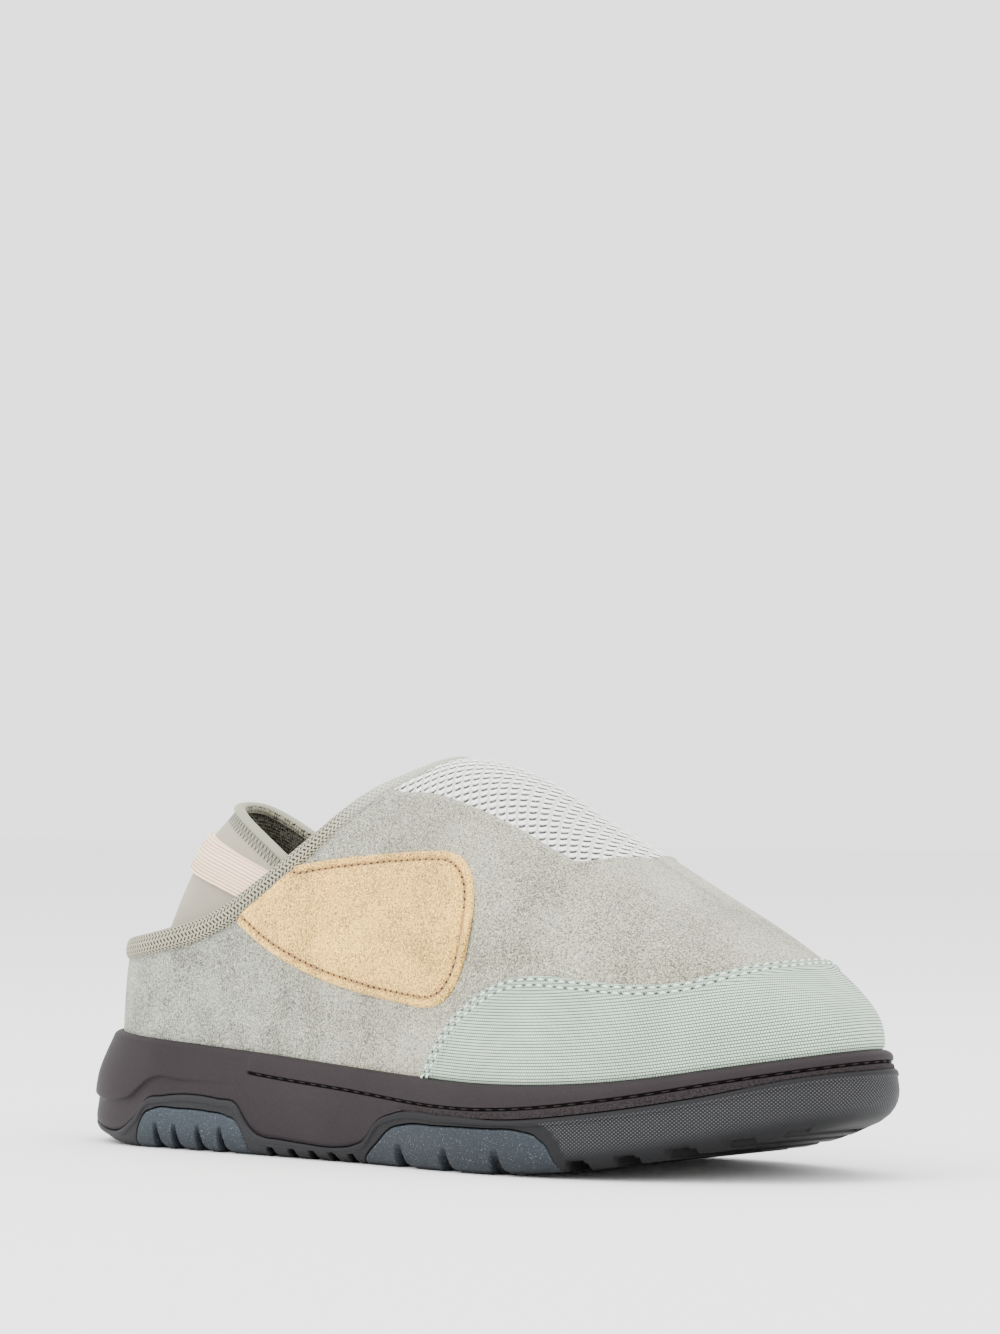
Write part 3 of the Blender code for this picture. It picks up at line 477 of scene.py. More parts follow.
        def outside(p: Array) -> Array:
            """Whether points lie outside the window."""
            share = self.share_of(p[..., 0])
            beside = p[..., 1] - middle
            reach = np.where(beside < 0, curve(share, THROAT, 1), curve(share, THROAT, 2))
            return (share < THROAT[0, 0]) | (np.abs(beside) >= reach * self.throat_width / 2 - margin)

        return self.largest_rise(turn, outside)

    @cached_property
    def throat_marks(self) -> tuple[float, float, float, float]:
        """Turns of the throat's outer and inner rear corner, of its top and of its end."""
        scan = np.linspace(0.15, 0.40, 1001)
        collar = self.rise_at_collar(scan)
        ways = (scan, 1 - scan)
        corners = [scan[np.argmax(self.rise_at_throat(way) < self.rise_at_collar(way))] for way in ways]
        top = scan[np.argmax(collar >= 1)]
        end = scan[len(scan) - 1 - np.argmax(self.rise_at_throat(scan)[::-1] < 1)] + scan[1] - scan[0]
        return corners[0], corners[1], top, end

    def throat_turns(self, corner: float, rear: int, front: int) -> Array:
        """Turns from a corner of the throat to its end, closer where its border turns.

        Args:
            corner: Turn of the corner.
            rear: Number of turns up to the throat's top.
            front: Number of turns from there to its end.

        Returns:
            Turns.
        """
        top, end = self.throat_marks[2:]
        behind = corner + (top - corner) * np.sin(np.linspace(0, np.pi / 2, rear))
        ahead = top + (end - top) * np.sin(np.linspace(0, np.pi / 2, front))
        return np.concatenate([behind, ahead[1:]])


LAST = Last()


@dataclass
class Sheet:
    """Grid of points with its flat map in metres and a pair of masks, ready to be a mesh."""

    points: Array
    flat: Array | None = None
    mask: Array | None = None
    wrap: bool = False
    flip: bool = False

    def faces(self) -> tuple[Array, Array]:
        """Quads of the grid, outward where columns run round and rows run up.

        Returns:
            Corners as places in the points, and as places in a grid whose last column is not wrapped.
        """
        rows, columns = self.points.shape[:2]
        steps = columns if self.wrap else columns - 1
        wide = columns + 1 if self.wrap else columns
        j, i = np.meshgrid(np.arange(rows - 1), np.arange(steps), indexing="ij")
        k = (i + 1) % columns
        corners = [j * columns + i, j * columns + k, (j + 1) * columns + k, (j + 1) * columns + i]
        places = [j * wide + i, j * wide + i + 1, (j + 1) * wide + i + 1, (j + 1) * wide + i]
        corners = np.stack(corners, -1).reshape(-1, 4)
        places = np.stack(places, -1).reshape(-1, 4)
        return (corners[:, ::-1], places[:, ::-1]) if self.flip else (corners, places)


def mesh_object(name: str, points: Array, faces: Array, layers: dict[str, Array]) -> bpy.types.Object:
    """Object from arrays, with doubles merged and its flat maps kept on the corners.

    Args:
        name: Name of the object.
        points: Points x, y, z.
        faces: Corners of each face.
        layers: Name of each flat map, and its u, v at every corner.

    Returns:
        The object, at the origin.
    """
    mesh = bpy.data.meshes.new(name)
    mesh.from_pydata(points, [], faces)
    for layer, values in layers.items():
        mesh.uv_layers.new(name=layer).data.foreach_set("uv", values.astype(np.float32).ravel())
    form = bmesh.new()
    form.from_mesh(mesh)
    bmesh.ops.remove_doubles(form, verts=form.verts, dist=MERGE)
    form.to_mesh(mesh)
    form.free()
    mesh.shade_smooth()
    thing = bpy.data.objects.new(name, mesh)
    bpy.context.scene.collection.objects.link(thing)
    return thing


def sheet_object(name: str, sheets: list[Sheet], finishes: list[bpy.types.Material]) -> bpy.types.Object:
    """Object from one or more grids.

    Args:
        name: Name of the object.
        sheets: Its grids.
        finishes: Its materials, by slot.

    Returns:
        The object, smooth, with the maps Flat and Mask.
    """
    points, faces, flats, masks, base = [], [], [], [], 0
    for sheet in sheets:
        corners, places = sheet.faces()
        rows, columns = sheet.points.shape[:2]
        flat = np.zeros((rows, columns + sheet.wrap, 2)) if sheet.flat is None else sheet.flat
        mask = np.zeros((rows, columns, 2)) if sheet.mask is None else sheet.mask
        points.append(sheet.points.reshape(-1, 3))
        faces.append(corners + base)
        flats.append(flat.reshape(-1, 2)[places.ravel()])
        masks.append(mask.reshape(-1, 2)[corners.ravel()])
        base += rows * columns
    layers = {"Flat": np.concatenate(flats), "Mask": np.concatenate(masks)}
    thing = mesh_object(name, np.concatenate(points), np.concatenate(faces), layers)
    for finish in finishes:
        thing.data.materials.append(finish)
    return thing


def across(ring: Array, rows: int) -> Array:
    """Grid between the points of a ring that face each other across the shoe.

    Args:
        ring: Points of the ring, starting at the heel.
        rows: Number of rows.

    Returns:
        Points, rows by columns.
    """
    count = len(ring)
    near = ring[: count // 2 + 1]
    far = ring[(count - np.arange(count // 2 + 1)) % count]
    share = np.linspace(0, 1, rows)[:, None, None]
    return near * (1 - share) + far * share


def wrapped_flat(points: Array, row: int) -> Array:
    """Flat map of a ring of columns: length round one row, and height.

    Args:
        points: Grid whose last column meets its first.
        row: Row that the length is measured on.

    Returns:
        The u, v at each point, with one more column than the grid.
    """
    ring = np.vstack([points[row], points[row, :1]])
    u = np.broadcast_to(run_length(ring), (points.shape[0], points.shape[1] + 1))
    v = np.concatenate([points[..., 2], points[:, :1, 2]], 1)
    return np.stack([u, v], -1)


def laid_flat(points: Array, row: int) -> Array:
    """Flat map of an open grid: length along one row, and length up each column."""
    u = np.broadcast_to(run_length(points[row]), points.shape[:2])
    return np.stack([u, run_length(points, 0)], -1)


def bars(name: str, path: Array, up: Array, finish: bpy.types.Material, length: float, pitch: float,
         radius: float, proud: float, start: float = 0.0) -> bpy.types.Object:
    """Row of thread bars along a path: each a bent spindle whose ends dip into the cloth.

    Args:
        name: Name of the object.
        path: Points of the path.
        up: Outward directions at those points.
        finish: Material of the thread.
        length: Length of a bar.
        pitch: Distance from bar to bar.
        radius: Radius of the thread.
        proud: Height of a bar's middle above the path.
        start: Length along the path before the first bar.

    Returns:
        The object.
    """
    sides, rings = 6, 6
    s = run_length(path)
    centre = np.arange(start + length / 2, s[-1] - length / 2, pitch)
    share = np.linspace(-0.5, 0.5, rings)
    at = centre[:, None] + share * length
    place = at_lengths(at, s, path)
    normal = unit(at_lengths(at, s, up))
    along = unit(np.gradient(place, axis=1))
    side = unit(np.cross(along, normal))
    arch = np.cos(np.pi * share)
    place = place + normal * (arch * (proud + radius) - radius)[:, None]
    angle = np.arange(sides) / sides * 2 * np.pi
    thick = radius * np.sqrt(np.clip(arch, 0, 1))[:, None, None]
    ring = side[:, :, None] * np.cos(angle)[:, None] + normal[:, :, None] * np.sin(angle)[:, None]
    points = place[:, :, None] + ring * thick
    j, i = np.meshgrid(np.arange(rings - 1), np.arange(sides), indexing="ij")
    k = (i + 1) % sides
    corners = [j * sides + i, (j + 1) * sides + i, (j + 1) * sides + k, j * sides + k]
    faces = np.stack(corners, -1).reshape(-1, 4)
    faces = (faces + np.arange(len(centre))[:, None, None] * rings * sides).reshape(-1, 4)
    thing = mesh_object(name, points.reshape(-1, 3), faces, {"Flat": np.zeros((faces.size, 2))})
    thing.data.materials.append(finish)
    return thing


def settle(piece: bpy.types.Object, slot: str, *nodes: str) -> None:
    """Sets a finished piece on the shoe's one body.

    Args:
        piece: The piece.
        slot: Material slot of the record for the piece's finish; not used.
        nodes: CAD nodes that it stands for.
    """
    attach(piece, "root")
    if nodes:
        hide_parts(*nodes)
    stands_for = ", ".join(nodes) or "no node"
    LOG.info("%s: %d faces, stands for %s", piece.name, len(piece.data.polygons), stands_for)


def srgb(red: int, green: int, blue: int) -> Colour:
    """Linear colour of a display colour of 0 to 255."""
    shares = [c / 255 for c in (red, green, blue)]
    return tuple(c / 12.92 if c <= 0.04045 else ((c + 0.055) / 1.055) ** 2.4 for c in shares)


class Wire:
    """Output of a shader node: arithmetic on it adds Math nodes."""

    def __init__(self, book: "Book", socket: bpy.types.NodeSocket) -> None:
        """Keeps the socket and the book that it is in."""
        self.book = book
        self.socket = socket

    def __add__(self, other: "Wire | float") -> "Wire":
        """Sum."""
        return self.book.maths("ADD", self, other)

    def __sub__(self, other: "Wire | float") -> "Wire":
        """Difference."""
        return self.book.maths("SUBTRACT", self, other)

    def __rsub__(self, other: "Wire | float") -> "Wire":
        """Difference from a number."""
        return self.book.maths("SUBTRACT", other, self)

    def __mul__(self, other: "Wire | float") -> "Wire":
        """Product."""
        return self.book.maths("MULTIPLY", self, other)

    def __truediv__(self, other: "Wire | float") -> "Wire":
        """Quotient."""
        return self.book.maths("DIVIDE", self, other)

    def __abs__(self) -> "Wire":
        """Size without its sign."""
        return self.book.maths("ABSOLUTE", self)

    __radd__ = __add__
    __rmul__ = __mul__

    def part(self) -> "Wire":
        """What is left over the whole number below."""
        return self.book.maths("FRACT", self)

    def whole(self) -> "Wire":
        """Whole number below."""
        return self.book.maths("FLOOR", self)

    def sine(self) -> "Wire":
        """Sine of an angle."""
        return self.book.maths("SINE", self)

    def most(self, other: "Wire | float") -> "Wire":
        """Larger of two."""
        return self.book.maths("MAXIMUM", self, other)

    def step(self, low: float, high: float) -> "Wire":
        """Smooth step from 0 at low to 1 at high; low may be the larger.

        Args:
            low: Value where it is 0.
            high: Value where it is 1.

        Returns:
            The step.
        """
        if low > high:
            return 1 - self.step(high, low)
        settings = {"interpolation_type": "SMOOTHSTEP"}
        return self.book.wire("ShaderNodeMapRange", settings, {0: self, 1: low, 2: high, 3: 0.0, 4: 1.0})


class Book:
    """Nodes of one material."""

    def __init__(self, name: str) -> None:
        """Starts a material with its Principled shader.

        Args:
            name: Name of the material.
        """
        self.material = bpy.data.materials.new(name)
        self.material.use_nodes = True
        self.tree = self.material.node_tree
        self.shader = self.tree.nodes["Principled BSDF"]

    def node(self, kind: str, settings: dict | None = None, inputs: dict | None = None) -> bpy.types.Node:
        """Any node.

        Args:
            kind: Node type.
            settings: Properties, set first.
            inputs: Values or wires by socket name or place.

        Returns:
            The node.
        """
        made = self.tree.nodes.new(kind)
        for key, value in (settings or {}).items():
            setattr(made, key, value)
        for key, value in (inputs or {}).items():
            self.feed(made.inputs[key], value)
        return made

    def feed(self, socket: bpy.types.NodeSocket, value: "Wire | float | tuple") -> None:
        """Links a wire to a socket, or sets the socket's value.

        Args:
            socket: The input.
            value: What it takes.
        """
        if isinstance(value, Wire):
            self.tree.links.new(value.socket, socket)
        elif isinstance(value, tuple) and socket.type == "RGBA":
            socket.default_value = (*value[:3], 1.0)
        else:
            socket.default_value = value

    def wire(self, kind: str, settings: dict | None = None, inputs: dict | None = None,
             output: int | str = 0) -> Wire:
        """One output of any node."""
        return Wire(self, self.node(kind, settings, inputs).outputs[output])

    def maths(self, operation: str, *values: "Wire | float") -> Wire:
        """Math node."""
        return self.wire("ShaderNodeMath", {"operation": operation}, dict(enumerate(values)))

    def place(self) -> Wire:
        """Object coordinates."""
        return self.wire("ShaderNodeTexCoord", output="Object")

    def flat(self, layer: str = "Flat") -> tuple[Wire, Wire]:
        """The two directions of a flat map, in metres, or two masks.

        Args:
            layer: Name of the flat map.

        Returns:
            The two wires.
        """
        source = self.wire("ShaderNodeUVMap", {"uv_map": layer})
        split = self.node("ShaderNodeSeparateXYZ", None, {0: source})
        return Wire(self, split.outputs[0]), Wire(self, split.outputs[1])

    def axis(self, number: int) -> Wire:
        """One axis of the Object coordinates."""
        return self.wire("ShaderNodeSeparateXYZ", None, {0: self.place()}, number)

    def noise(self, scale: float, detail: float = 2.0, roughness: float = 0.5) -> Wire:
        """Noise on Object coordinates: its scale is one over the size of its lumps, in metres."""
        inputs = {"Vector": self.place(), "Scale": scale, "Detail": detail, "Roughness": roughness}
        return self.wire("ShaderNodeTexNoise", None, inputs)

    def blend(self, share: Wire | float, first: "Wire | Colour", second: "Wire | Colour",
              mode: str = "MIX") -> Wire:
        """Mix of two colours."""
        settings = {"data_type": "RGBA", "blend_type": mode}
        return self.wire("ShaderNodeMix", settings, {0: share, 6: first, 7: second}, 2)

    def shaded(self, colour: "Wire | Colour", light: Wire) -> Wire:
        """Colour times a number."""
        return self.blend(1.0, colour, light, "MULTIPLY")

    def bump(self, height: Wire, distance: float, strength: float = 1.0, under: Wire | None = None) -> Wire:
        """Normal of a relief.

        Args:
            height: Relief from 0 to 1.
            distance: Its real height, in metres.
            strength: How much of it counts.
            under: Normal of a coarser relief.

        Returns:
            The normal.
        """
        inputs = {"Strength": strength, "Distance": distance, "Height": height}
        if under:
            inputs["Normal"] = under
        return self.wire("ShaderNodeBump", None, inputs)

    def finish(self, **inputs: "Wire | float | tuple") -> bpy.types.Material:
        """Feeds the Principled shader; a socket's name is written with underscores.

        Args:
            inputs: Values or wires by socket name.

        Returns:
            The material.
        """
        for key, value in inputs.items():
            self.feed(self.shader.inputs[key.replace("_", " ")], value)
        return self.material


@dataclass(frozen=True)
class Suede:
    """Napped leather: clouds, blotches where the nap lies another way, fine fibres, and painted shade along
    seams where the first mask says.
    """

    name: str
    base: Colour
    cool: Colour
    dark: Colour
    # seam: colour of the painted shade along seams, where the first mask says
    seam: Colour
    cool_from: float = 0.02
    cool_to: float = -0.10
    cloud_scale: float = 26
    blotch_scale: float = 85
    nap_scale: float = 1700
    grain_scale: float = 2600
    nap_contrast: float = 5.0
    grain_contrast: float = 4.0
    cloud_contrast: float = 1.6

    def material(self) -> bpy.types.Material:
        """The material."""
        book = Book(self.name)
        cloud = book.noise(self.cloud_scale, 3, 0.55)
        blotch = book.noise(self.blotch_scale, 5, 0.6)
        nap = book.noise(self.nap_scale, 3, 0.65)
        grain = book.noise(self.grain_scale, 2, 0.6)
        heelwards = book.axis(0).step(self.cool_from, self.cool_to)
        colour = book.blend(heelwards * 0.8 + cloud.step(0.40, 0.62) * 0.2, self.base, self.cool)
        colour = book.blend(blotch.step(0.48, 0.72) * 0.35, colour, self.dark)
        # painted shade along seams: under the binding on the shell, in the stitch trough on the patch
        seam_shade = book.flat("Mask")[0]
        colour = book.blend(seam_shade * 0.6, colour, self.seam)
        fibres = (nap - 0.5) * self.nap_contrast + (grain - 0.5) * self.grain_contrast
        clouds = (cloud - 0.5) * self.cloud_contrast + (blotch - 0.5) * (1.0 + heelwards * 0.8)
        light = fibres + clouds + 1
        relief = book.bump(blotch, 0.0006, 0.5)
        relief = book.bump(nap * 0.6 + grain * 0.4, 0.00030, 0.9, relief)
        return book.finish(Base_Color=book.shaded(colour, light.most(0.25)), Roughness=0.95, Normal=relief,
                           Sheen_Weight=0.25, Sheen_Roughness=0.6, Specular_IOR_Level=0.2)


@dataclass(frozen=True)
class Nylon:
    """Woven cap cloth: rows of short raised threads that follow the sole, half a step apart, and painted
    shade along the stitch rows.
    """

    base: Colour = srgb(200, 221, 200)
    gap: Colour = srgb(30, 38, 34)
    # seam: colour of the painted shade along the stitch rows, where the second mask says
    seam: Colour = srgb(74, 86, 82)
    row: float = 0.00096
    stitch: float = 0.00085

    def material(self) -> bpy.types.Material:
        """The material."""
        book = Book("woven_nylon")
        u, v = book.flat()
        rows = v / self.row
        lift = abs((rows * np.pi).sine())
        shift = u / self.stitch + rows.whole() * 0.5
        dash = abs((shift * np.pi).sine())
        thread = lift.step(0.10, 0.75) * dash.step(0.05, 0.60)
        edge, seam_shade = book.flat("Mask")
        slub = book.noise(60, 3) * 0.4 + 0.80
        colour = book.shaded(book.blend(thread, self.gap, self.base), slub)
        # painted shade in the dips along the stitch rows
        colour = book.blend(seam_shade * 0.75, colour, self.seam)
        relief = book.bump(thread, 0.00012, 0.8)
        return book.finish(Base_Color=book.blend(edge * 0.15, colour, self.base), Roughness=0.62,
                           Normal=relief, Sheen_Weight=0.15, Specular_IOR_Level=0.4)


@dataclass(frozen=True)
class Net:
    """Throat net: pale cells in rows, each with a painted shadow of the strand above as a dark dash along its
    foot, and thin links beside it.
    """

    cloth: Colour = srgb(250, 252, 246)
    link: Colour = srgb(150, 157, 152)
    # dash: colour of the painted shadow that each strand casts on the cell below it
    dash: Colour = srgb(14, 16, 15)
    cell_long: float = 0.0031
    cell_wide: float = 0.0024

    def material(self) -> bpy.types.Material:
        """The material."""
        book = Book("throat_net")
        u, v = book.flat()
        cell = (u / self.cell_long).part() - 0.5
        sag = v / self.cell_wide + cell * cell * 1.1 + cell * 0.15
        level = sag.part() - 0.5
        # painted shadow: a dark dash along the foot of each cell
        dash = abs(cell).step(0.40, 0.28) * abs(level).step(0.25, 0.11)
        link = abs(abs(cell) - 0.44).step(0.10, 0.03) * 0.5
        fleck = book.noise(2200, 2)
        colour = book.blend(link, self.cloth, self.link)
        colour = book.blend(dash * (0.55 + fleck * 0.8), colour, self.dash)
        relief = book.bump(fleck, 0.0001, 0.5)
        relief = book.bump(1 - dash.most(link), 0.0004, 0.8, relief)
        return book.finish(Base_Color=book.shaded(colour, 0.85 + fleck * 0.3), Roughness=0.8, Normal=relief,
                           Specular_IOR_Level=0.3)


@dataclass(frozen=True)
class Knit:
    """Knit tape: slanting yarn loops with a dark dash between each pair, rows slanting in turn."""

    name: str
    yarn: Colour
    dash: Colour
    pale: Colour
    loop: float = 0.0017
    row: float = 0.00118

    def material(self) -> bpy.types.Material:
        """The material."""
        book = Book(self.name)
        u, v = book.flat()
        rows = v / self.row
        across_row = rows.part() - 0.5
        lean = (rows / 2).part().step(0.49, 0.51) * 2 - 1
        loops = (u / self.loop + lean * across_row * 0.55 + rows.whole() * 0.5).part()
        dark = abs(loops - 0.5).step(0.32, 0.16) * abs(across_row).step(0.48, 0.28)
        round_yarn = abs((loops * np.pi).sine())
        fuzz = book.noise(1500, 3)
        forward = book.axis(0).step(-0.045, -0.022)
        yarn = book.blend(forward, self.yarn, self.pale)
        colour = book.blend(dark * (0.95 - forward * 0.55), yarn, self.dash)
        relief = book.bump(1 - dark, 0.00035, 0.9)
        relief = book.bump(fuzz * 0.5 + round_yarn * 0.5, 0.0002, 0.5, relief)
        return book.finish(Base_Color=book.shaded(colour, 0.55 + fuzz * 0.9), Roughness=0.9, Normal=relief,
                           Sheen_Weight=0.2, Specular_IOR_Level=0.2)


@dataclass(frozen=True)
class Foam:
    """Moulded midsole foam: satin skin, a coarse stipple where the first mask says, and painted shade in the
    stitch groove where the second says.
    """

    base: Colour = srgb(41, 36, 38)
    stipple: Colour = srgb(56, 48, 47)
    # groove: colour of the painted shade in the stitch groove
    groove: Colour = srgb(5, 4, 4)

    def material(self) -> bpy.types.Material:
        """The material."""
        book = Book("midsole_foam")
        rough, deep_shade = book.flat("Mask")
        fine = book.noise(2400, 2)
        crumb = book.noise(1700, 3, 0.6)
        drift = book.noise(35, 2)
        colour = book.shaded(self.base, 0.40 + drift * 0.5 + fine * 0.7)
        colour = book.shaded(colour, 1 - crumb.step(0.50, 0.40) * rough * 0.5)
        colour = book.blend(crumb.step(0.52, 0.64) * rough * 0.7, colour, self.stipple)
        # painted shade in the stitch groove
        colour = book.blend(deep_shade.step(0.05, 0.50), colour, self.groove)
        relief = book.bump(fine, 0.00008, 0.5)
        relief = book.bump(crumb * rough, 0.0006, 0.9, relief)
        return book.finish(Base_Color=colour, Roughness=0.58 + rough * 0.2, Normal=relief,
                           Specular_IOR_Level=0.12)


@dataclass(frozen=True)
class Rubber:
    """Outsole rubber: fine grain, a lattice of raised dots on the toe bumper, and painted shade where the
    second mask says.
    """

    base: Colour = srgb(38, 38, 40)
    dot: Colour = srgb(98, 99, 102)
    # deep: colour of the painted shade, where the second mask says
    deep_shade: Colour = srgb(7, 7, 8)
    pitch: float = 0.00135

    def material(self) -> bpy.types.Material:
        """The material."""
        book = Book("outsole_rubber")
        u, v = book.flat()
        bumper, low = book.flat("Mask")
        one = ((u / self.pitch + v / (self.pitch * 0.8)) * np.pi).sine()
        two = ((u / self.pitch - v / (self.pitch * 0.8)) * np.pi).sine()
        dots = (abs(one) * abs(two)).step(0.25, 0.75) * bumper
        fine = book.noise(2600, 2)
        drift = book.noise(40, 2)
        ahead = book.axis(0).step(-0.07, 0.02)
        colour = book.blend(dots * 0.9, self.base, self.dot)
        colour = book.shaded(colour, (0.70 + drift * 0.3 + fine * 0.3) * (1 - ahead * 0.42))
        # painted shade low on the toe's wall, across the tread and in the lug grooves
        colour = book.blend(low * 0.9, colour, self.deep_shade)
        relief = book.bump(fine, 0.00006, 0.5)
        relief = book.bump(dots, 0.00025, 0.8, relief)
        return book.finish(Base_Color=colour, Roughness=0.55, Normal=relief, Specular_IOR_Level=0.14)


@dataclass(frozen=True)
class Frosted:
    """Insert rubber: slate blue, frosted, with pale specks, and painted shade in its notches."""

    base: Colour = srgb(50, 57, 64)
    low: Colour = srgb(32, 38, 44)
    speck: Colour = srgb(120, 128, 134)
    # deep: colour of the painted shade in the notches, where the first mask says
    deep_shade: Colour = srgb(10, 12, 14)

    def material(self) -> bpy.types.Material:
        """The material."""
        book = Book("frosted_insert")
        specks = book.noise(2100, 2)
        drift = book.noise(70, 3)
        fine = book.noise(3000, 2)
        notch, edge = book.flat("Mask")
        height = book.axis(2).step(0.0, 0.012)
        colour = book.blend(height * 0.7 + drift * 0.3, self.low, self.base)
        ahead = book.axis(0).step(-0.03, 0.0)
        colour = book.shaded(colour, (0.4 + fine * 1.1 + edge * 0.2) * (1 - ahead * 0.28))
        colour = book.blend(specks.step(0.60, 0.70) * (0.35 + edge * 0.5), colour, self.speck)
        # painted shade in the notches
        colour = book.blend(notch.step(0.1, 0.9) * 0.85, colour, self.deep_shade)
        relief = book.bump(fine * 0.5 + specks * 0.5, 0.00012, 0.7)
        return book.finish(Base_Color=colour, Roughness=0.50, Normal=relief, Specular_IOR_Level=0.2)


@dataclass(frozen=True)
class Jersey:
    """Sock knit by distance from the rim: rolled tape, zigzag overlock, jersey, and the lining."""

    jersey: Colour = srgb(156, 149, 132)
    tape: Colour = srgb(146, 146, 126)
    thread: Colour = srgb(22, 21, 16)
    lining: Colour = srgb(150, 147, 126)
    lining_dot: Colour = srgb(34, 33, 27)
    tape_end: float = 0.0054
    zigzag_end: float = 0.0096
    zigzag_pitch: float = 0.0021

    def material(self) -> bpy.types.Material:
        """The material: v runs down from the rim, and the second mask says what is inside."""
        book = Book("sock_knit")
        u, v = book.flat()
        inside = book.flat("Mask")[1]
        band = v.step(self.tape_end - 0.0003, self.tape_end)
        band = band * v.step(self.zigzag_end, self.zigzag_end - 0.0003)
        swing = abs((u / self.zigzag_pitch).part() - 0.5) * 2
        height = (v - self.tape_end) / (self.zigzag_end - self.tape_end)
        zigzag = abs(height - swing).step(0.30, 0.12) * band
        ends = (abs(height - 0.5).step(0.36, 0.46)) * (abs(swing - 0.5).step(0.3, 0.45)) * band
        fine = book.noise(2200, 2)
        soft = book.noise(60, 3)
        outer = book.blend(v.step(self.tape_end, self.zigzag_end + 0.002), self.tape, self.jersey)
        outer = book.blend((zigzag * 0.85).most(ends * 0.9), outer, self.thread)
        knots = abs((u / 0.0013 * np.pi).sine()) * abs((v / 0.0015 * np.pi).sine())
        crumb = book.noise(900, 2)
        inner = book.blend((knots * 0.5 + crumb * 1.4 - 0.35).step(0.25, 0.6), self.lining_dot, self.lining)
        colour = book.shaded(book.blend(inside, outer, inner), 0.72 + fine * 0.30 + soft * 0.26)
        relief = book.bump(fine, 0.0001, 0.5)
        relief = book.bump(zigzag * 0.6 + knots * inside, 0.0004, 0.8, relief)
        return book.finish(Base_Color=colour, Roughness=0.85, Normal=relief, Sheen_Weight=0.2,
                           Specular_IOR_Level=0.25)


@dataclass(frozen=True)
class Cloth:
    """Plain fine cloth: a small basket weave with a soft drift of colour."""

    name: str
    base: Colour
    dark: Colour
    pitch: float = 0.0009

    def material(self) -> bpy.types.Material:
        """The material."""
        book = Book(self.name)
        u, v = book.flat()
        weave = abs((u / self.pitch * np.pi).sine()) * abs((v / self.pitch * np.pi).sine())
        fine = book.noise(1800, 3)
        drift = book.noise(50, 2)
        colour = book.blend(weave.step(0.1, 0.6), self.dark, self.base)
        relief = book.bump(weave * 0.6 + fine * 0.4, 0.00015, 0.7)
        colour = book.shaded(colour, 0.84 + fine * 0.14 + drift * 0.16)
        return book.finish(Base_Color=colour, Roughness=0.9, Normal=relief, Specular_IOR_Level=0.25)


@dataclass(frozen=True)
class Elastic:
    """Ribbed elastic: pale ribs along its length with a fine weave and a darker line between two."""

    rib: Colour = srgb(255, 232, 202)
    line: Colour = srgb(196, 108, 66)
    pitch: float = 0.00135

    def material(self) -> bpy.types.Material:
        """The material."""
        book = Book("ribbed_elastic")
        u, v = book.flat()
        ribs = abs((v / self.pitch * np.pi).sine())
        weave = abs((u / 0.0007 * np.pi).sine())
        fine = book.noise(1800, 2)
        colour = book.blend(ribs.step(0.08, 0.50), self.line, self.rib)
        relief = book.bump(ribs * 0.8 + weave * 0.2, 0.0003, 0.8)
        return book.finish(Base_Color=book.shaded(colour, 0.90 + fine * 0.2), Roughness=0.75, Normal=relief,
                           Specular_IOR_Level=0.3)


@dataclass(frozen=True)
class Thread:
    """Sewing thread: a twist of fine strands."""

    name: str
    base: Colour

    def material(self) -> bpy.types.Material:
        """The material."""
        book = Book(self.name)
        twist = book.noise(3500, 2)
        relief = book.bump(twist, 0.00008, 0.6)
        colour = book.shaded(self.base, 0.85 + twist * 0.3)
        return book.finish(Base_Color=colour, Roughness=0.7, Normal=relief)


class Side(Enum):
    """Side of the shoe."""

    OUTER = -1
    INNER = 1


